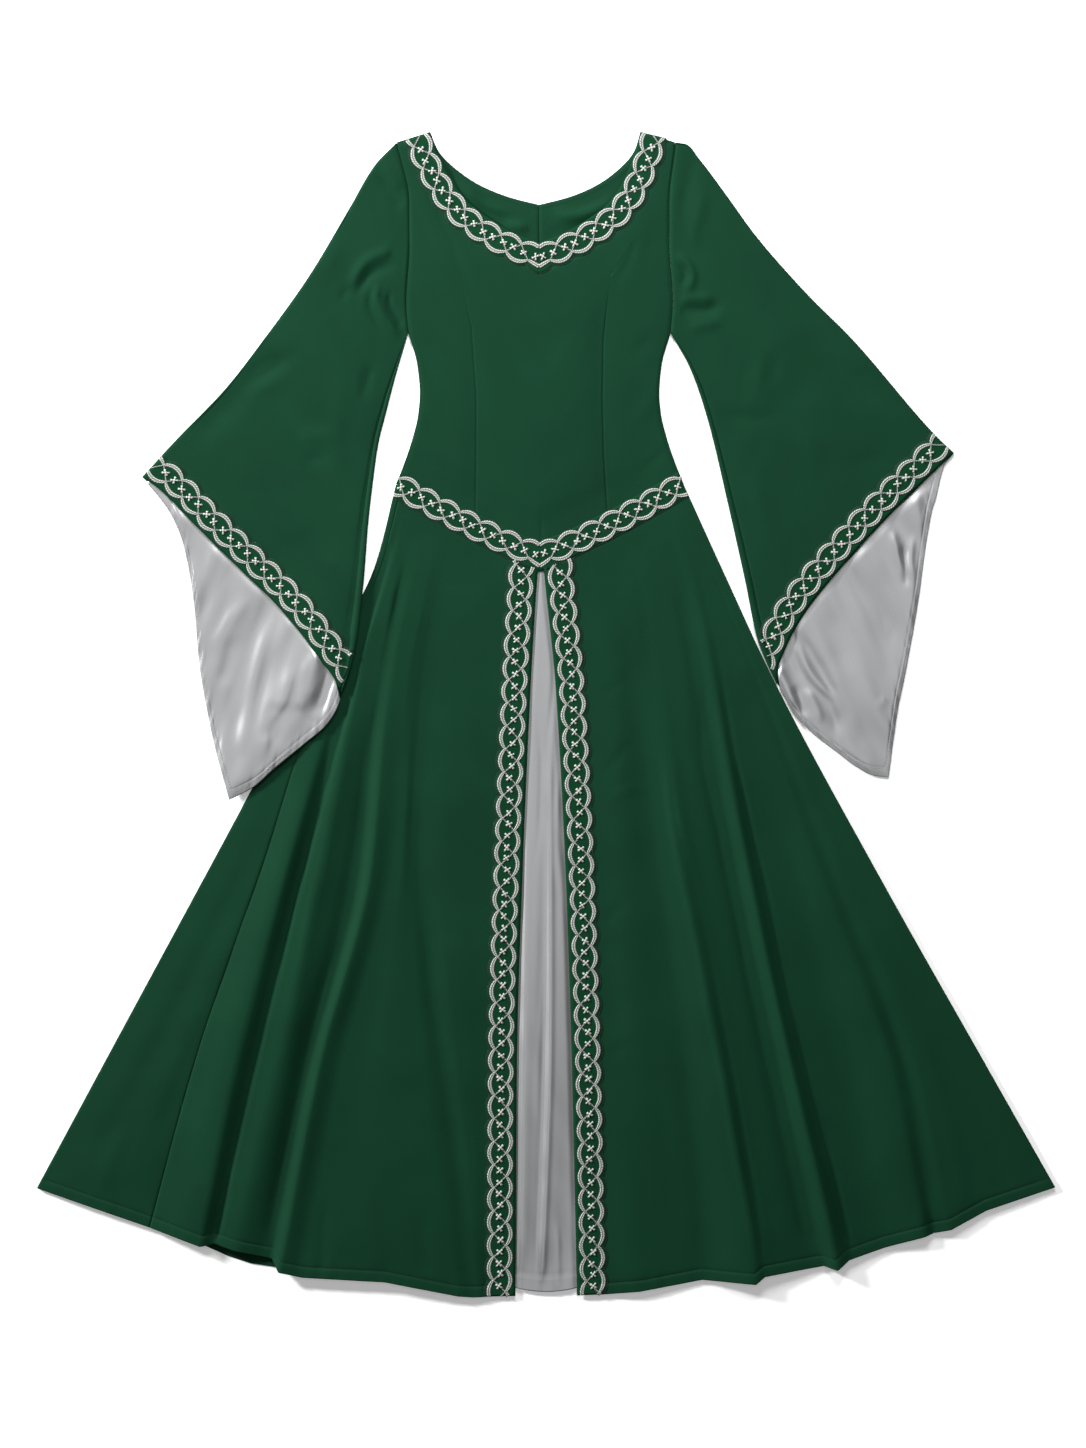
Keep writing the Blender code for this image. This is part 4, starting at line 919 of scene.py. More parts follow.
def lifted(grid, sleeve):
    # the left sleeve lies on the skirt's edge and climbs onto it
    if sleeve.side > 0:
        return grid
    edge = linePoints(leftOutline, np.linspace(0, 1, 40))[::-1]
    inside = grid[:, :, 0] - np.interp(grid[:, :, 1], edge[:, 1], edge[:, 0])
    climb = ease((inside - sleeves["liftFrom"]) / (sleeves["liftTo"] - sleeves["liftFrom"]))
    below = ease((sleeves["liftTop"] - grid[:, :, 1]) / (sleeves["liftTop"] - sleeves["liftFull"]))
    grid = grid.copy()
    grid[:, :, 2] += sleeves["lift"] * climb * below
    return grid


def sleeveEdges(sleeve):
    # the armhole and both long edges, with rows that meet the ribbon's upper edge
    armhole = placed(armholeLine, sleeve.side) + [sleeve.side * 0.3, 0.0]
    outerFine = along([tuple(armhole[0])] + list(sleeve.outer), 900)
    innerFine = along([tuple(armhole[-1])] + list(sleeve.inner), 900)
    outerCut = int(np.argmin(np.linalg.norm(outerFine - sleeve.ribbonTop[0], axis=1)))
    innerCut = int(np.argmin(np.abs(innerFine[:, 1] - sleeve.ribbonTop[-1][1])))
    lower = spread(sleeves["ribbonRows"], 34.0)
    outer, inner = (joined(along(fine[:cut + 1], sleeves["rows"]), along(fine[cut:], lower))
                    for fine, cut in ((outerFine, outerCut), (innerFine, innerCut)))
    return armhole, outer, inner, lower


def sleeveFront(sleeve, folds, armhole, centre, seam, lower):
    # the front from the outer fold to the seam, down to the hem
    cut = sleeves["rows"]
    shares = spread(sleeves["columns"], 240.0, 1.4)
    top = along(armhole, shares)
    centre[0] = top[0] + bendInset * (top[2] - top[0]) / np.linalg.norm(top[2] - top[0])
    top[0], top[-1] = centre[0], seam[0]
    ribbonTop = along(sleeve.ribbonTop, shares)
    ribbonTop[0], ribbonTop[-1] = centre[cut - 1], seam[cut - 1]
    upper = patch(top, ribbonTop, centre[:cut], seam[:cut])
    hem = along(sleeve.hem, shares)
    hem[0], hem[-1] = centre[-1], seam[-1]
    share = lower[1:, None, None]
    band = (1 - share) * ribbonTop[None] + share * hem[None]
    band[:, 0], band[:, -1] = centre[cut:], seam[cut:]
    flat = np.concatenate([upper, band])
    v = np.linspace(0, 1, len(flat))[:, None]
    puff = np.interp(v, *zip(*sleeves["puff"])) * np.abs(np.sin(np.pi * shares[None])) ** 0.6
    front = raised(flat, frontZ + puff)
    crease(front, [(path, sleeves["creases"] * rise, *rest) for path, rise, *rest in folds])
    uneven(front, 75.0, 0.8, 6.1 + sleeve.side)
    rolled(front, "top", 1.9, 4.0)
    return levelled(front, frontZ - 1.2)


cornerShare = 0.62  # of the back hem's columns, as far as its lower corner


def sleeveBack(sleeve, folds, armhole, centre, inner):
    # the back on the floor, longer than the front, with a soft trace of the front's largest folds
    columns = sleeves["backColumns"]
    before = round(columns * cornerShare)
    hem = joined(along(sleeve.backHem[0], before + 1), along(sleeve.backHem[1], columns - before))
    hem[0], hem[-1] = centre[-1], inner[-1]
    hem[1:-1] = offset(hem, 3.0 * sleeve.side)[1:-1]
    top = along(armhole, columns)
    top[0], top[-1] = centre[0], inner[0]
    back = raised(patch(top, hem, centre, inner), backZ)
    crease(back, [(path, sleeves["backCreases"] * abs(rise), left * 1.3, right * 1.3, start, end)
                  for path, rise, left, right, start, end in folds[:6]])
    return levelled(back, backZ)


def sleeveGrid(sleeve, folds):
    # one sheet: the back from the underarm edge, round the outer fold, and the front with its seam
    armhole, outer, inner, lower = sleeveEdges(sleeve)
    rows, cut = len(outer), sleeves["rows"]
    outward = -(offset(outer, 1.0) - outer) * sleeve.side
    centre = outer - bendInset * outward
    toward = outer - inner
    toward /= np.linalg.norm(toward, axis=1)[:, None]
    taperRows = [0, cut * 0.23, cut - 1, cut + 3, rows - 1]
    taper = np.interp(np.arange(rows), taperRows, sleeves["seamTaper"])[:, None]
    seam = inner + sleeve.seamWidth * taper * toward
    front = sleeveFront(sleeve, folds, armhole, centre, seam, lower)
    front[:, -1, 2] = frontZ - 2.2 * taper[:, 0]
    # the narrow strip past the seam, which belongs to the back and is rolled to the front
    places, rises = zip(*sleeves["strip"])
    strip = np.stack([seam * (1 - place) + inner * place for place in places], axis=1)
    strip = raised(strip, frontZ + np.array(rises)[None] * np.minimum(1.0, taper * 1.2))
    back = sleeveBack(sleeve, folds, armhole, centre, inner + 5.0 * toward * taper.clip(0.2, 1.0))
    edge = raised(inner[:, None], sideZ)
    edge[0, 0, 2] = backZ
    bend = bendRows(centre, outward, np.radians([-55, -20, 15, 50, 78]))
    return lifted(np.concatenate([edge, back[:, ::-1], bend, front[:, 1:], strip], axis=1), sleeve)


leftSleeveFolds = [
    ([(-255, 549), (-247, 569), (-234, 587), (-216, 597), (-198, 601)], 2.0, 7, 6, 0.35, 0.15),
    ([(-247, 539), (-239, 557), (-226, 573), (-208, 580), (-192, 580)], -1.6, 6, 6, 0.3, 0.3),
    ([(-218, 565), (-220, 544), (-212, 523), (-200, 505), (-188, 489)], 1.7, 5, 5, 0.25, 0.25),
    ([(-205, 554), (-204, 536), (-195, 518), (-186, 502)], -1.6, 5, 4, 0.3, 0.2),
    ([(-229, 558), (-229, 535), (-220, 510), (-205, 489)], -1.3, 5, 5, 0.3, 0.4),
    ([(-225, 705), (-209, 687), (-195, 670), (-186, 656)], -1.3, 7, 7, 0.4, 0.2),
    ([(-216, 721), (-200, 700), (-187, 679)], 1.2, 6, 6, 0.4, 0.3),
    ([(-268, 536), (-261, 547), (-252, 554)], -1.0, 6, 6, 0.4, 0.5),
    ([(-393, 430), (-369, 448), (-341, 460), (-312, 471)], -1.5, 9, 10, 0.35, 0.5),
    ([(-398, 409), (-364, 427), (-325, 440)], 0.9, 10, 10, 0.4, 0.5),
    ([(-468, 333), (-434, 378), (-398, 417), (-361, 453), (-330, 500)], -1.3, 16, 16, 0.3, 0.4),
    ([(-325, 350), (-304, 362), (-281, 361), (-263, 352)], 0.9, 8, 9, 0.4, 0.5),
    ([(-320, 320), (-294, 333), (-270, 331)], -0.8, 8, 8, 0.4, 0.5),
    ([(-226, 461), (-234, 427), (-244, 396)], -1.0, 7, 8, 0.3, 0.5),
    ([(-255, 474), (-268, 409), (-273, 331), (-281, 253)], 0.9, 16, 16, 0.4, 0.5),
    ([(-408, 349), (-385, 318), (-351, 289)], 0.8, 12, 12, 0.4, 0.5),
    ([(-320, 253), (-296, 220), (-276, 193)], -0.8, 12, 12, 0.4, 0.4),
    ([(-270, 630), (-281, 588), (-299, 549)], 0.9, 12, 14, 0.4, 0.6),
]
rightSleeveFolds = [
    ([(166, 595), (177, 592), (187, 582), (191, 569), (187, 557), (174, 551)], 1.7, 5, 5, 0.2, 0.25),
    ([(169, 580), (177, 578), (181, 570), (177, 562), (169, 560)], -1.3, 5, 4, 0.3, 0.3),
    ([(174, 517), (187, 525), (205, 525), (221, 530), (231, 539)], -1.9, 6, 6, 0.2, 0.35),
    ([(172, 535), (187, 540), (205, 540), (222, 545)], 1.5, 6, 6, 0.25, 0.35),
    ([(179, 500), (200, 505), (221, 510), (237, 521)], 1.3, 6, 7, 0.3, 0.5),
    ([(195, 734), (187, 700), (179, 664), (176, 630)], -1.2, 8, 8, 0.3, 0.4),
    ([(208, 695), (200, 656), (192, 622), (192, 596)], 1.0, 8, 8, 0.4, 0.4),
    ([(299, 474), (298, 450), (291, 419)], -0.6, 8, 9, 0.4, 0.5),
    ([(268, 471), (257, 440), (255, 411), (263, 391)], -0.5, 9, 8, 0.4, 0.5),
    ([(281, 480), (278, 445), (276, 409)], 0.5, 7, 7, 0.4, 0.5),
    ([(221, 404), (244, 388), (278, 383), (312, 393)], -0.9, 10, 9, 0.4, 0.5),
    ([(255, 588), (317, 518), (390, 437), (460, 370)], -1.3, 18, 18, 0.3, 0.3),
    ([(231, 539), (281, 500), (338, 445), (395, 383)], 0.9, 18, 18, 0.4, 0.4),
    ([(330, 383), (346, 341), (348, 292)], 0.7, 14, 14, 0.4, 0.5),
    ([(260, 318), (283, 266), (299, 216)], 0.9, 12, 12, 0.4, 0.4),
    ([(377, 337), (416, 328), (455, 341)], -0.7, 12, 12, 0.4, 0.5),
]
leftLiningFolds = [
    ([(-385, 159), (-411, 116), (-437, 68)], 1.2, 8, 9, 0.3, 0.3),
    ([(-403, 144), (-425, 105), (-441, 81)], 1.0, 6, 6, 0.3, 0.4),
    ([(-403, 107), (-413, 73), (-421, 32)], -1.4, 10, 10, 0.3, 0.3),
    ([(-360, 125), (-370, 84), (-378, 47), (-387, -10), (-395, -59)], 1.4, 8, 9, 0.2, 0.2),
    ([(-351, 97), (-364, 50), (-376, 3), (-382, -44)], -1.2, 9, 9, 0.3, 0.3),
    ([(-326, 68), (-338, 21), (-361, -15), (-367, -66)], 1.5, 6, 8, 0.2, 0.2),
    ([(-346, 19), (-358, -10), (-364, -38)], -1.8, 8, 8, 0.3, 0.3),
    ([(-307, 81), (-316, 40), (-321, 1)], 1.5, 6, 8, 0.3, 0.2),
    ([(-291, 102), (-303, 50), (-318, -5)], 3.2, 16, 9, 0.3, 0.35),
    ([(-272, 97), (-282, 40), (-300, -18)], -4.4, 6, 16, 0.1, 0.35),
    ([(-273, 45), (-289, 11), (-302, -12)], 1.2, 8, 9, 0.3, 0.2),
    ([(-333, 19), (-346, -12), (-351, -49)], -1.0, 8, 8, 0.3, 0.3),
    ([(-450, 227), (-442, 162), (-443, 97)], -1.0, 10, 10, 0.3, 0.4),
    ([(-413, 71), (-419, 6), (-411, -72)], 0.9, 10, 10, 0.3, 0.3),
    ([(-398, 19), (-406, -33), (-403, -85)], -0.9, 8, 8, 0.3, 0.3),
]
rightLiningFolds = [
    ([(312, 154), (318, 107), (329, 66), (346, 14)], -3.4, 6, 24, 0.3, 0.5),
    ([(315, 105), (335, 66), (352, 42), (374, 19), (382, -16)], 2.4, 6, 6, 0.2, 0.2),
    ([(326, 114), (346, 77), (368, 36), (377, -2), (380, -33)], -2.4, 7, 8, 0.2, 0.2),
    ([(356, 68), (378, 27), (395, -2), (408, -38)], 1.7, 10, 10, 0.3, 0.3),
    ([(298, 66), (316, 29), (326, 1)], 2.0, 6, 6, 0.2, 0.3),
    ([(321, 40), (332, 14), (337, -7)], -1.9, 6, 6, 0.3, 0.3),
    ([(335, 37), (351, 11), (359, -15)], 1.4, 6, 6, 0.3, 0.3),
    ([(463, 223), (467, 188), (471, 164)], -2.6, 6, 6, 0.25, 0.3),
    ([(448, 242), (459, 205), (469, 170)], 1.7, 5, 5, 0.25, 0.3),
    ([(477, 237), (474, 201), (478, 167)], 1.7, 5, 5, 0.3, 0.3),
    ([(491, 289), (494, 253), (489, 211)], -1.6, 7, 7, 0.3, 0.4),
    ([(398, 175), (408, 110), (419, 32), (429, -33)], 1.0, 22, 22, 0.3, 0.3),
    ([(364, 141), (382, 97), (395, 45)], -1.0, 17, 17, 0.3, 0.4),
    ([(434, 201), (445, 136), (450, 71)], -0.8, 17, 17, 0.3, 0.3),
    ([(460, 123), (458, 71), (452, 19)], 0.7, 10, 10, 0.3, 0.3),
    ([(443, 19), (434, 14), (424, 11)], 0.8, 5, 5, 0.1, 0.7),
]


lining = {
    "satin": 0.7,
    "columns": 134, "rows": 76,  # of the grid
    "under": 24.0,  # reach under the front hem
    "hemDepth": 13.0, "stitches": 10.0,  # from its edge
    "fine": (16.0, 170.0, 0.9), "broad": (34.0, 170.0, 3.0),  # wrinkles: widths across and along, and rise
    "lift": 1.9,  # above the satin's layer, where it lies free
}


def liningGrid(sleeve, folds, seed, lean):
    # the satin from under the front hem to the back hem's very edge, where it turns down
    columns = lining["columns"]
    before = round(columns * cornerShare)
    full = joined(along(sleeve.backHem[0], 240), along(sleeve.backHem[1], 160))
    full = offset(full, -0.4 * sleeve.side)
    length = distances(full)
    corner, ends = length[239], 9.0
    at = np.concatenate([np.linspace(ends, corner, before),
                         np.linspace(corner, length[-1] - ends, columns - before + 1)[1:]])
    bottom = np.column_stack([np.interp(at, length, full[:, k]) for k in (0, 1)])
    hem = along(along(sleeve.hem, 80)[3:-4], columns)
    tail = distances(hem)[-1] - distances(hem)
    width = lining["under"] * ease((tail + 14.0) / 90.0)
    under = hem + sleeve.side * width[:, None] * (offset(hem, 1.0) - hem)
    # close rows at the edge that turns down, and at the sewn groove
    shares = spread(lining["rows"], 260.0, 1.0, [1 - k / 260 for k in (0.35, 0.9, 12.0, 13.0, 14.0, 15.2)])
    sides = [along([under[k], bottom[k]], shares) for k in (0, -1)]
    flat = patch(under, bottom, *sides)
    grid = raised(flat, satinZ)
    crease(grid, folds)
    wrinkled(grid, lean, *lining["fine"], seed)
    wrinkled(grid, lean + 0.25 * sleeve.side, *lining["broad"], seed + 3)
    beyond = np.cumsum(np.linalg.norm(np.diff(flat, axis=0, prepend=flat[:1]), axis=2), axis=0) - width[None]
    free = ease((beyond + 2) / 18) * ease((fromHem(flat) + 6) / 26)
    grid[:, :, 2] = satinZ + 0.3 + (grid[:, :, 2] + lining["lift"] - satinZ) * free
    hemmed(grid, seed, depth=lining["hemDepth"], pucker=1.0, size=9.0, groove=0.2)
    levelled(grid, satinZ - 0.5)
    turnedDown = 0.4  # width of the edge that goes down to the back cloth's layer
    grid[:, :, 2] -= (satinZ - lining["satin"] / 2 - backZ) * (1 - ease(fromHem(flat) / turnedDown))
    return lifted(grid, sleeve)


sleeveLeft = sleeveGrid(leftSleeve, leftSleeveFolds)
sleeveRight = sleeveGrid(rightSleeve, rightSleeveFolds)
liningLeft = liningGrid(leftSleeve, leftLiningFolds, 3.7, -1.9)
liningRight = liningGrid(rightSleeve, rightLiningFolds, 6.6, -1.15)
print("sleeve grids made")


# Embroidery

plait = {
    "pitch": 30.0,  # one loop of the plait, along the ribbon
    "mid": 14.3, "join": 7.6,  # the loops' reach from the centre line, at their middle and where they meet
    "cord": 5.4, "crossing": 1.4,  # widths of the cord
    "tall": 1.0, "over": 0.45,  # height of the cord, and how much more where it lies over another
    "samples": 18,  # per pitch
    "ground": 0.6,  # wall of the embroidered ground
    "margin": 2.6, "dip": 6.0,  # the ground beyond the loops, and the depth of its scallops
    "tipPast": 5.5,  # how far past the meeting line the outer cord points
    "cordShadow": (1.7, 0.35),  # a dark green tube round the cord, painted as its shadow: how much wider it is, and its height
    "edge": 20.5, "inFrom": 20.8,  # plain edge from the centre line, and that line from the cloth's edge
    "neckEdge": 18.0, "neckInFrom": 18.2,  # the same at the neck
    "waistTip": 16.0, "waistWiden": 4.7,  # at the waist's point: the outer cord's reach, and extra ground
    "starts": (0.0, 0.45, 0.0, 0.0),  # pitches at the upper ends of the front and sleeve ribbons
    "cross": (11.0, 2.9, 2.3),  # a bar of a small cross: length, width, height
}
early = 24.0  # a line begins to be tried this far before its path, and is tried this far past it


def topOf(names, x, y, fallback=frontZ):
    # height of the highest panel under a place, in millimetres
    best = None
    for name in names:
        surface, wall = surfaces[name]
        hit = surface.ray_cast(Vector(((x - middle[0]) * mm, (y - middle[1]) * mm, 0.2)), Vector((0, 0, -1)))
        if hit[0] is not None:
            height = hit[0].z / mm + wall / 2
            best = height if best is None else max(best, height)
    return fallback if best is None else best


class Path:
    # a trim's centre line: places by length along it and distance towards its plain edge, which is
    # to the left or right by hand
    def __init__(self, points, panels, hand, phase=None, cut=None, keep=None, least=0.0, tip=10.5,
                 widen=0.0):
        self.points = along(points, 700)
        self.length = distances(self.points)
        self.total = self.length[-1]
        self.panels = panels  # the cloths it lies on
        self.cut = cut  # where both halves meet, the place across that ends the path
        self.keep = keep  # which spots stay
        self.least = least  # the lowest it lies, where it bridges an opening
        self.tip = tip  # how far out the outer cord comes to its point
        self.widen = widen  # how much wider the ground is there
        self.phase = 0.93 - self.total / plait["pitch"] if phase is None else phase  # pitches at its start
        self.ahead = np.gradient(self.points, axis=0)
        self.ahead /= np.linalg.norm(self.ahead, axis=1)[:, None]
        self.side = np.column_stack([-self.ahead[:, 1], self.ahead[:, 0]]) * hand

    def at(self, s, across):
        inside = np.clip(s, 0, self.total)
        place, side, ahead = (np.column_stack([np.interp(inside, self.length, run[:, k]) for k in (0, 1)])
                              for run in (self.points, self.side, self.ahead))
        return place + side * np.asarray(across, float)[:, None] + ahead * (s - inside)[:, None]

    def run(self, spacing, across, stop=-early):
        # places on a line at a varying distance from the path, as far as there is cloth under it
        s = np.arange(-early, self.total - stop, 0.5)
        spots = self.at(s, across(s))
        stays = np.array([topOf(self.panels, x, y, None) is not None for x, y in spots])
        if self.keep:
            stays &= self.keep(spots)
        if self.cut is not None:
            stays &= (spots[:, 0] - self.cut) * np.sign(self.points[0, 0] - self.cut) > 0
        kept = np.flatnonzero(stays)
        s = np.linspace(s[kept[0]], s[kept[-1]], int(self.total / spacing) + 1)
        spots = self.at(s, across(s))
        if self.cut is not None and stop < 0:
            spots[-1, 0] = self.cut
        return s, spots

    def turn(self, s):
        # pitches of the plait at a place
        return s / plait["pitch"] + self.phase

    def height(self, spots):
        # of the cloth under each spot
        return np.array([max(self.least, topOf(self.panels, x, y)) for x, y in spots])


# places across a cord, round its top and back underneath
ropeRing = np.array([-1.0, -0.82, -0.5, -0.2, 0.0, 0.2, 0.5, 0.82, 1.0, 0.5, -0.5, -1.0])
threadRing = np.array([-1.0, -0.7, 0.0, 0.7, 1.0, 0.5, -0.5, -1.0])


def tube(shape, spots, heights, width, tall, groove=0.0, sunk=0.5, around=ropeRing):
    # a raised cord on the cloth: a ring of points at each sample, closed at both ends
    spots, heights, width, tall = (
        np.concatenate([run[:1], run, run[-1:]]) for run in (spots, heights, width, tall))
    count = len(spots)
    over = around[:-3]
    crown = np.sqrt(np.clip(1 - over ** 2, 0, 1)) * (1 - groove * np.exp(-(over / 0.2) ** 2))
    lift = np.concatenate([crown, [-sunk, -sunk, 0.0]])
    step = np.gradient(spots[1:-1], axis=0)
    step = np.concatenate([step[:1], step, step[-1:]]) / np.linalg.norm(step, axis=1).mean()
    step /= np.linalg.norm(step, axis=1)[:, None]
    side = np.column_stack([-step[:, 1], step[:, 0]])
    made = bmesh.ops.create_grid(shape, x_segments=len(around) - 1, y_segments=count - 1, size=1.0)["verts"]
    across = around[None] * (width / 2)[:, None]
    across[0], across[-1] = 0, 0
    high = heights[:, None] + lift[None] * np.where(lift > 0, tall[:, None], 1.0)
    high[0], high[-1] = heights[0], heights[-1]
    places = np.dstack([spots[:, None] + across[:, :, None] * side[:, None], high]).reshape(-1, 3)
    for vertex, place in zip(made, (places - middle) * mm):
        vertex.co = place
    run = distances(spots) * mm
    layer = shape.loops.layers.uv["threads"]
    index = {vertex: i for i, vertex in enumerate(made)}
    for face in {f for vertex in made for f in vertex.link_faces}:
        for loop in face.loops:
            i = index[loop.vert]
            loop[layer].uv = (run[i // len(around)], around[i % len(around)] * 0.003)


def newShape():
    shape = bmesh.new()
    shape.loops.layers.uv.new("threads")
    return shape


def finishedShape(shape, name, material):
    bmesh.ops.remove_doubles(shape, verts=shape.verts, dist=0.001 * mm)
    bmesh.ops.recalc_face_normals(shape, faces=shape.faces)
    mesh = bpy.data.meshes.new(name)
    shape.to_mesh(mesh)
    shape.free()
    mesh.shade_smooth()
    return finished(bpy.data.objects.new(name, mesh), material)


def strandAt(t):
    # distance from the centre line, cord width and fullness, at t pitches along a strand's three
    t = np.mod(t, 3.0)
    loop = np.where(t < 1.0, t, np.where((t >= 1.5) & (t < 2.5), t - 1.5, -1.0))
    side = np.where(t < 1.25, 1.0, -1.0)
    bow = np.sin(np.pi * np.clip(loop, 0, 1))
    crossing = np.where(t < 1.5, t - 1.0, t - 2.5) / 0.5
    slanted = plait["join"] * np.where(t < 1.5, 1 - 2 * crossing, 2 * crossing - 1)
    bowed = plait["join"] + (plait["mid"] - plait["join"]) * bow ** 0.75
    across = np.where(loop >= 0, side * bowed, slanted)
    full = np.where(loop >= 0, bow ** 0.35, 0.0)
    width = plait["crossing"] + (plait["cord"] - plait["crossing"]) * full
    return across, width, full


def strandLine(path, k):
    # a strand's distance from the centre line; where two halves meet, the outer one runs straight out
    # to a point
    def across(s):
        reach = strandAt(path.turn(s) - k)[0]
        if path.cut is None:
            return reach
        past = path.total - plait["pitch"] * np.mod(path.turn(path.total) - 0.5, 1.0)
        share = (s - past) / (path.total + plait["tipPast"] - past)
        straight = -(plait["join"] + (path.tip - plait["join"]) * share)
        return np.where((s > past) & (reach < -0.99 * plait["join"]), straight, reach)
    return across


def strands(shape, under, path):
    # three strands along the whole path, each a loop behind the next, and a dark green tube painted round
    # them as their shadow
    wider, low = plait["cordShadow"]
    for k in range(3):
        ending = np.mod(path.turn(path.total) - k, 3.0)
        stop = plait["pitch"] * (ending - 2.5) if path.cut is not None and ending > 2.5 else -early
        s, spots = path.run(plait["pitch"] / plait["samples"], strandLine(path, k), stop)
        t = np.mod(path.turn(s) - k, 3.0)
        width, full = strandAt(t)[1:]
        over = plait["over"] * np.where((t > 0.9) & (t < 1.6), 1.0, 0.0)
        base = path.height(spots) + plait["ground"]
        tube(shape, spots, base, width, plait["tall"] * (0.6 + 0.4 * full) + over, groove=0.6)
        # painted shadow: a dark green tube a little wider and lower than the cord
        tube(under, spots, base, width + wider, low + 0.6 * over, sunk=0.2, around=threadRing)


def grain(shape, spot, angle, size, rings=(8, 6)):
    # a short satin-stitched bar with full rounded ends: spot is its place and height, size its length,
    # width and height
    made = bmesh.ops.create_uvsphere(shape, u_segments=rings[0], v_segments=rings[1], radius=0.5)["verts"]
    layer = shape.loops.layers.uv["threads"]
    for loop in {loop for vertex in made for loop in vertex.link_loops}:
        loop[layer].uv = (loop.vert.co.x * size[0] * mm, 0.0015 + abs(loop.vert.co.y) * 0.001)
    c, s = math.cos(angle), math.sin(angle)
    for vertex in made:
        x, y, z = vertex.co
        far, across = x * (1 + 0.7 * abs(y)) * size[0], y * (0.75 + 1.7 * abs(x)) * size[1]
        place = (spot[0] + c * far - s * across, spot[1] + s * far + c * across, spot[2] + z * size[2])
        vertex.co = (Vector(place) - Vector(middle)) * mm


def crosses(shape, path, seed):
    # two crossed bars where each strand crosses the middle, none quite alike
    random = np.random.default_rng(seed)
    length, width, height = plait["cross"]
    clear = 6.0  # the ground reaches this far before and after a cross
    first = math.ceil((path.phase - 0.25) * 2)
    for i in range(first, first + int(path.total / plait["pitch"] * 2) + 1):
        s = (i / 2 + 0.25 - path.phase) * plait["pitch"] + random.uniform(-1.2, 1.2)
        away = random.uniform(-1.4, 1.4)
        spot, beyond, before, after = path.at(np.array([s, s + 1.0, s - clear, s + clear]), [away] * 4)
        ends = [before] if path.cut is not None and s > path.total - clear else [before, after]
        if s < 3.0 or s > path.total - 3.0 or any(topOf(path.panels, *end, None) is None for end in ends):
            continue
        if path.keep and not path.keep(np.array(ends)).all():
            continue
        lean = math.atan2(*(beyond - spot)[::-1]) + random.uniform(-0.2, 0.2)
        z = path.height([spot])[0] + plait["ground"] + 0.6
        for turn in (math.pi / 4, -math.pi / 4):
            size = (length * random.uniform(0.85, 1.08), width * random.uniform(0.85, 1.15), height)
            grain(shape, (*spot, z), lean + turn + random.uniform(-0.2, 0.2), size)


def scalloped(path):
    # the ground's edge beyond the outer loops
    def reach(s):
        bow = np.abs(np.sin(np.pi * (path.turn(s) + 0.5))) ** 0.6
        return plait["mid"] + plait["cord"] / 2 + plait["margin"] - plait["dip"] * (1 - bow)
    return reach


def groundGrid(path, inner, outer):
    # inner is the plain edge's reach; outer is another, or None for scallops
    scallops, groundCell, columns = scalloped(path), 2.8, 11

    def outerReach(s):
        return scallops(s) if outer is None else outer + path.widen * ease(1 - (path.total - s) / 60)

    grid = []
    for share in np.linspace(0, 1, columns):
        def across(s):
            return inner * (1 - 2 * share) + 0 * s if share <= 0.5 else -outerReach(s) * (2 * share - 1)
        spots = path.run(groundCell, across)[1]
        grid.append(np.column_stack([spots, path.height(spots) + plait["ground"] / 2 + 0.05]))
    return np.array(grid)


def outline(shape, grid):
    # a dark green tube along the ground's outer edge, painted as the shadow of that edge
    edge = grid[-1]
    width, tall = np.full(len(edge), 1.2), np.full(len(edge), 0.8)
    tube(shape, edge[:, :2], edge[:, 2] - plait["ground"] / 2, width, tall, sunk=0.2, around=threadRing)


# The cloths

green, silver, ribbon = "green_cloth", "silver_satin", "embroidered_ribbon"
backBodice = ["left_back_bodice_cloth", "right_back_bodice_cloth"]
frontSkirt = ["left_front_skirt_cloth", "right_front_skirt_cloth"]
underFront = ["back_skirt_cloth", "inset_satin"]
Sheet = namedtuple("Sheet", "name grid wall material slot node held under")  # under: what it rests on
sheets = [Sheet(*row) for row in (
    ("front_bodice_cloth", bodiceFront, bodice["cloth"], crepe, green, "bodice_front", "laid", backBodice),
    (backBodice[0], bodiceBackLeft, bodice["cloth"], crepe, green, "bodice_back_left", "laid", []),
    (backBodice[1], bodiceBackRight, bodice["cloth"], crepe, green, "bodice_back_right", "laid", []),
    (frontSkirt[0], skirtLeft, skirt["cloth"], crepe, green, "skirt_front_left", "laid", underFront),
    (frontSkirt[1], skirtRight, skirt["cloth"], crepe, green, "skirt_front_right", "laid", underFront),
    ("back_skirt_cloth", skirtBack, skirt["cloth"], crepe, green, "skirt_back", "folded", []),
    ("inset_satin", skirtInset, inset["cloth"], satin, silver, "skirt_inset", "laid", underFront[:1]),
    ("left_sleeve_cloth", sleeveLeft, sleeves["cloth"], crepe, green, "sleeve_left", "folded",
     underFront[:1]),
    ("right_sleeve_cloth", sleeveRight, sleeves["cloth"], crepe, green, "sleeve_right", "folded", []),
    ("left_sleeve_satin", liningLeft, lining["satin"], satin, silver, "sleeve_lining_left", "laid",
     ["left_sleeve_cloth"]),
    ("right_sleeve_satin", liningRight, lining["satin"], satin, silver, "sleeve_lining_right", "laid",
     ["right_sleeve_cloth"]))]
pieces = {sheet.name: cloth(*sheet[:6]) for sheet in sheets}
print("cloth pieces made")


# The embroidered trims

def frontEdge(line, away):
    # a front panel's edge, moved inwards
    return offset(linePoints(line, np.linspace(0, 1, 160))[:, :2], away)


def underWaist(spots):
    return spots[:, 1] < waistY(spots[:, 0]) - ribbonReach(spots[:, 0]) - 0.6


def withinSleeve(sleeve):
    # the cords end before the sleeve's inner edge
    line = np.array(sleeve.inner)[::-1]
    return lambda spots: sleeve.side * (spots[:, 0] - np.interp(spots[:, 1], line[:, 1], line[:, 0])) > 2.5


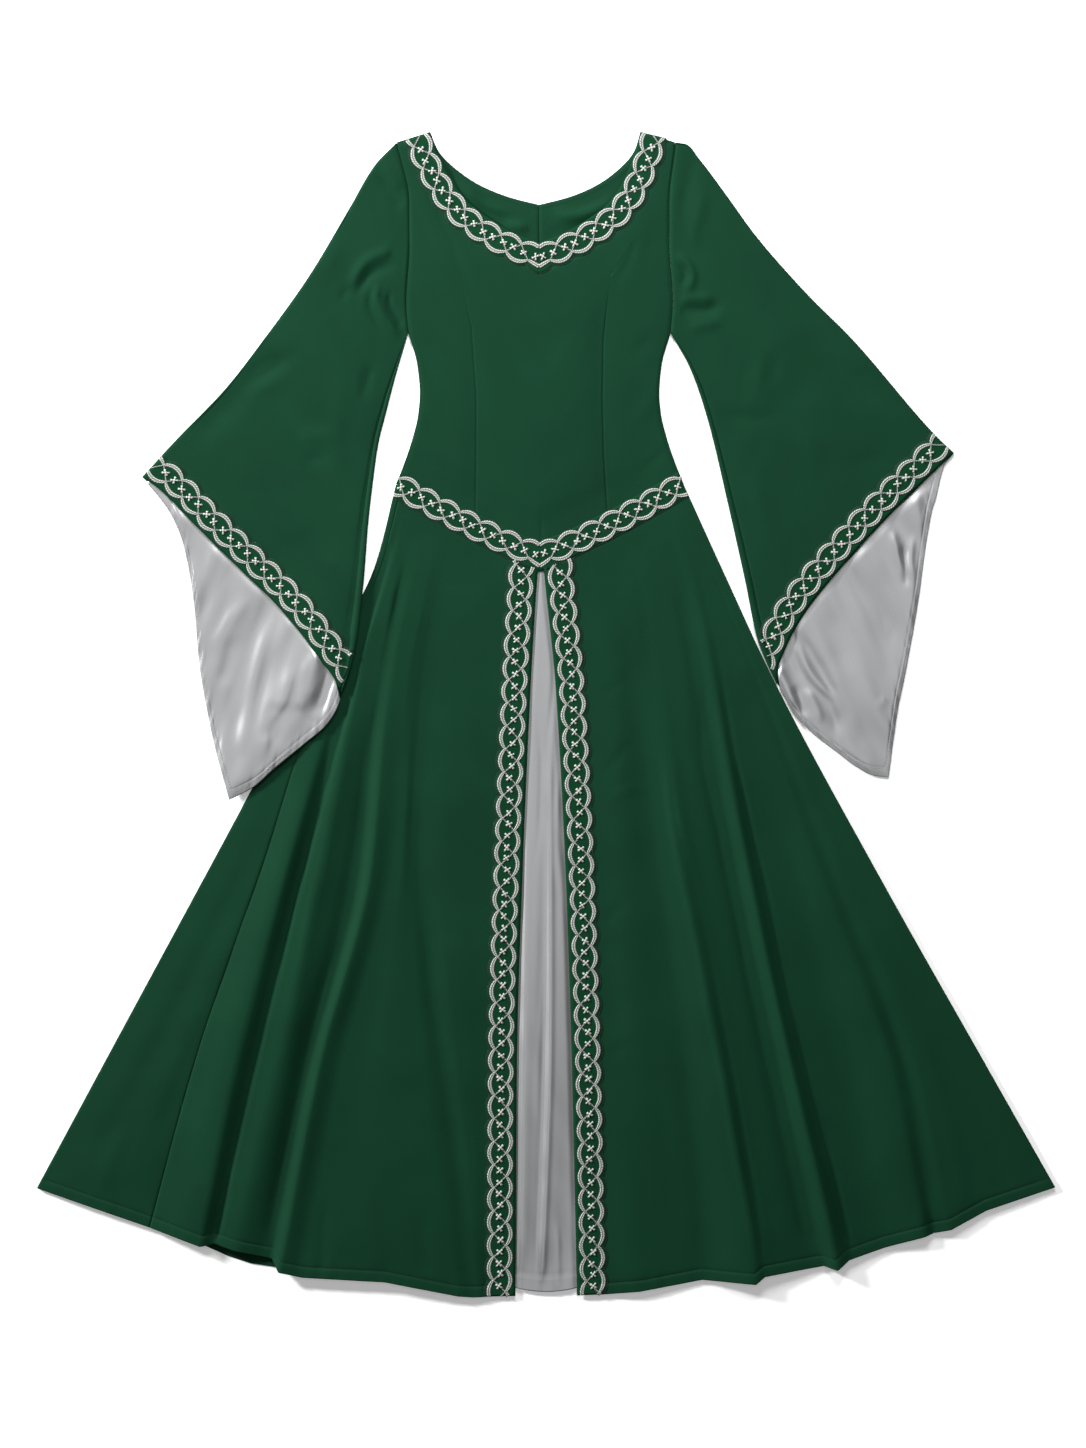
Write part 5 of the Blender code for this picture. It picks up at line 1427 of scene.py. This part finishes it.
def makeTrim(name, node, on, halves, inner, outer, seed):
    # halves: one path, or two that meet in the middle
    # the third shape gathers the dark green tubes painted as shadow round the cords and along the ground's
    # edge
    silverShape, crossShape, paintedShadowShape = newShape(), newShape(), newShape()
    grids = []
    for path in halves:
        grid = groundGrid(path, inner, outer)
        grids.append(grid)
        strands(silverShape, paintedShadowShape, path)
        crosses(crossShape, path, seed + len(grids))
        outline(paintedShadowShape, grid)
    whole = grids[0] if len(grids) == 1 else np.concatenate([grids[0], grids[1][:, ::-1][:, 1:]], axis=1)
    ground = cloth(name + "_ground", whole, plait["ground"], groundCrepe, ribbon, node)
    sewn = [finishedShape(shape, name + ending, material) for shape, ending, material in (
        (silverShape, "_plait", silverThread), (crossShape, "_crosses", silverThread),
        (paintedShadowShape, "_outline", greenThread))]
    return ground, whole, pieces[on], sewn


def trims():
    # centre lines: the neck and waist in two halves that meet in a point, the others in one
    neckLine = offset(neckCurve(np.linspace(0, 1, 120)), plait["neckInFrom"])
    middleAt = len(neckLine) // 2
    neckCut = neckLine[middleAt, 0]
    onBodice = ["front_bodice_cloth"]
    neckHalves = [Path(half, onBodice, hand, cut=neckCut)
                  for half, hand in ((neckLine[:middleAt + 1], 1), (neckLine[middleAt:][::-1], -1))]
    mid = centreX(waistSide[1])
    waistX = np.linspace(mid - waistSide[0] + 1.0, mid, 80)
    crossed = [*onBodice, *frontSkirt, *underFront]
    bridge = frontZ + skirt["cloth"] / 2
    waistHalves = [
        Path(np.column_stack([x, waistY(waistX)]), crossed, hand, cut=mid, least=bridge,
             tip=plait["waistTip"], widen=plait["waistWiden"])
        for x, hand in ((waistX, 1), (2 * mid - waistX, -1))]
    half = bodice["ribbonWidth"] / 2
    made = [makeTrim("neck", "trim_neck", onBodice[0], neckHalves, plait["neckEdge"], None, 11),
            makeTrim("waist", "trim_waist", onBodice[0], waistHalves, half, half, 21)]
    edge, inFrom = plait["edge"], plait["inFrom"]
    leftHem, rightHem = along(leftSleeve.hem, 200), along(rightSleeve.hem, 200)
    rows = (("left_front", "trim_front_left", frontSkirt[0],
             frontEdge(leftPanel[-1], inFrom), 1, underWaist, 31),
            ("right_front", "trim_front_right", frontSkirt[1],
             frontEdge(rightPanel[0], -inFrom), -1, underWaist, 41),
            ("left_sleeve", "trim_sleeve_left", "left_sleeve_cloth",
             offset(leftHem, -inFrom), -1, withinSleeve(leftSleeve), 51),
            ("right_sleeve", "trim_sleeve_right", "right_sleeve_cloth",
             offset(rightHem, inFrom), 1, withinSleeve(rightSleeve), 61))
    for (name, node, on, line, hand, keep, seed), start in zip(rows, plait["starts"]):
        path = Path(line, [on], hand, phase=start, keep=keep)
        made.append(makeTrim(name, node, on, [path], edge, None, seed))
    return made


madeTrims = trims()
print("trims made")


# Rows of stitching along the hems and the back neck

stitching = {"length": 2.6, "gap": 1.4, "width": 0.8, "height": 0.6}


def stitchLine(grid, wall, depth):
    # a line on the cloth, this far in from the grid's first row
    away = distances(grid[:, grid.shape[1] // 2])
    row = grid[int(np.argmin(np.abs(away - depth)))].copy()
    row[:, 2] += wall / 2
    return row


def stitched(name, line, material):
    shape = newShape()
    length = distances(line)
    step = stitching["length"] + stitching["gap"]
    at = np.arange(step, length[-1] - step, step)
    here, ahead = (np.column_stack([np.interp(s, length, line[:, k]) for k in range(3)])
                   for s in (at, at + 1.0))
    for spot, beyond in zip(here, ahead):
        angle = math.atan2(*(beyond - spot)[1::-1])
        grain(shape, spot, angle, (stitching["length"], stitching["width"], stitching["height"]), (6, 4))
    return finishedShape(shape, name, material)


goreStart = int(np.argmax(skirtBack[-1, :, 2] > frontZ - 0.6)) + 1
sewing = {}
for name, on, grid, depth, sewn in (
        ("left_hem_stitches", frontSkirt[0], skirtLeft[::-1], skirt["hemDepth"], greenThread),
        ("right_hem_stitches", frontSkirt[1], skirtRight[::-1], skirt["hemDepth"], greenThread),
        ("side_hem_stitches", underFront[0], skirtBack[::-1, goreStart:], skirt["hemDepth"], greenThread),
        ("left_neck_stitches", backBodice[0], bodiceBackLeft, bodice["neckStitches"], greenThread),
        ("right_neck_stitches", backBodice[1], bodiceBackRight, bodice["neckStitches"], greenThread),
        ("left_lining_stitches", "left_sleeve_satin", liningLeft[::-1], lining["stitches"], greyThread),
        ("right_lining_stitches", "right_sleeve_satin", liningRight[::-1], lining["stitches"], greyThread)):
    sheet = next(sheet for sheet in sheets if sheet.name == on)
    sewing[on] = stitched(name, stitchLine(grid, sheet.wall, depth), sewn)
print("stitches made")


# Sheets, floor, light and camera

for sheet in sheets:
    sewn = [sewing[sheet.name]] if sheet.name in sewing else []
    declareSheet(sheet.grid)
for ground, grid, panel, sewn in madeTrims:
    declareSheet(grid)

floorShape = bmesh.new()
bmesh.ops.create_grid(floorShape, x_segments=1, y_segments=1, size=8.0)
floorMesh = bpy.data.meshes.new("floor")
floorShape.to_mesh(floorMesh)
floorShape.free()
floor = bpy.data.objects.new("floor", floorMesh)
scene.collection.objects.link(floor)
# Matt white paint that gives off a little light of its own, so that its shadows stay pale
floorMesh.materials.append(newMaterial("pale floor paint", {
    "Base Color": linear("#FFFFFF"), "Roughness": 0.9, "Specular IOR Level": 0.1,
    "Emission Color": linear("#FFFFFF"), "Emission Strength": 0.22})[0])


def lamp(name, place, settings):
    # a round lamp that points at the middle of the dress
    data = bpy.data.lights.new(name, 'AREA')
    data.shape = 'DISK'
    for key, value in settings.items():
        setattr(data, key, value)
    light = bpy.data.objects.new(name, data)
    light.location = place
    light.rotation_euler = (-Vector(place)).to_track_quat('-Z', 'Y').to_euler()
    scene.collection.objects.link(light)


# A soft light from the upper left, a near one above the neck, and a dim room that is bright overhead
studio = {
    "key": {"energy": 385.0, "size": 0.75}, "keyPlace": (-3.8, 1.9, 1.6),
    "near": {"energy": 84.0, "size": 1.3}, "nearPlace": (0.2, 2.2, 1.7),
    "overhead": 0.92, "walls": 0.03,  # how bright the room is
    "brightFrom": 0.78,  # how steep a direction is where the overhead light begins
}
lamp("key light", studio["keyPlace"], studio["key"])
lamp("near light", studio["nearPlace"], studio["near"])
world = bpy.data.worlds.new("studio")
world.use_nodes = True
worldTree = world.node_tree
direction = addNode(worldTree, "ShaderNodeTexCoord").outputs["Generated"]
height = addNode(worldTree, "ShaderNodeSeparateXYZ", None, {0: direction}).outputs["Z"]
glow = addNode(worldTree, "ShaderNodeMapRange", {
    "interpolation_type": 'SMOOTHSTEP', "From Min": studio["brightFrom"], "From Max": 1.0,
    "To Min": studio["walls"], "To Max": studio["overhead"]}, {"Value": height})
worldTree.links.new(glow.outputs[0], worldTree.nodes["Background"].inputs["Strength"])
worldTree.nodes["Background"].inputs["Color"].default_value = (1, 1, 1, 1)
scene.world = world
scene.view_settings.view_transform = 'Standard'

# The photograph's frame: its size, the pixel at the tables' zero, and the real size of a pixel
photo = {"width": 1086, "height": 1448, "zeroX": 546, "zeroY": 714.5, "pixel": 1.3}
cameraHeight, sensorHeight = 6.0, 36.0
cameraData = bpy.data.cameras.new("camera")
cameraData.sensor_fit = 'VERTICAL'
cameraData.sensor_height = sensorHeight
cameraData.lens = sensorHeight * cameraHeight / (photo["height"] * photo["pixel"] * mm)
cameraData.clip_end = 50.0
camera = bpy.data.objects.new("camera", cameraData)
camera.location = ((photo["width"] / 2 - photo["zeroX"]) * photo["pixel"] * mm - middle[0] * mm,
                   (photo["zeroY"] - photo["height"] / 2) * photo["pixel"] * mm - middle[1] * mm,
                   cameraHeight)
scene.collection.objects.link(camera)
scene.camera = camera

bpy.context.view_layer.update()
print("studio and camera set")
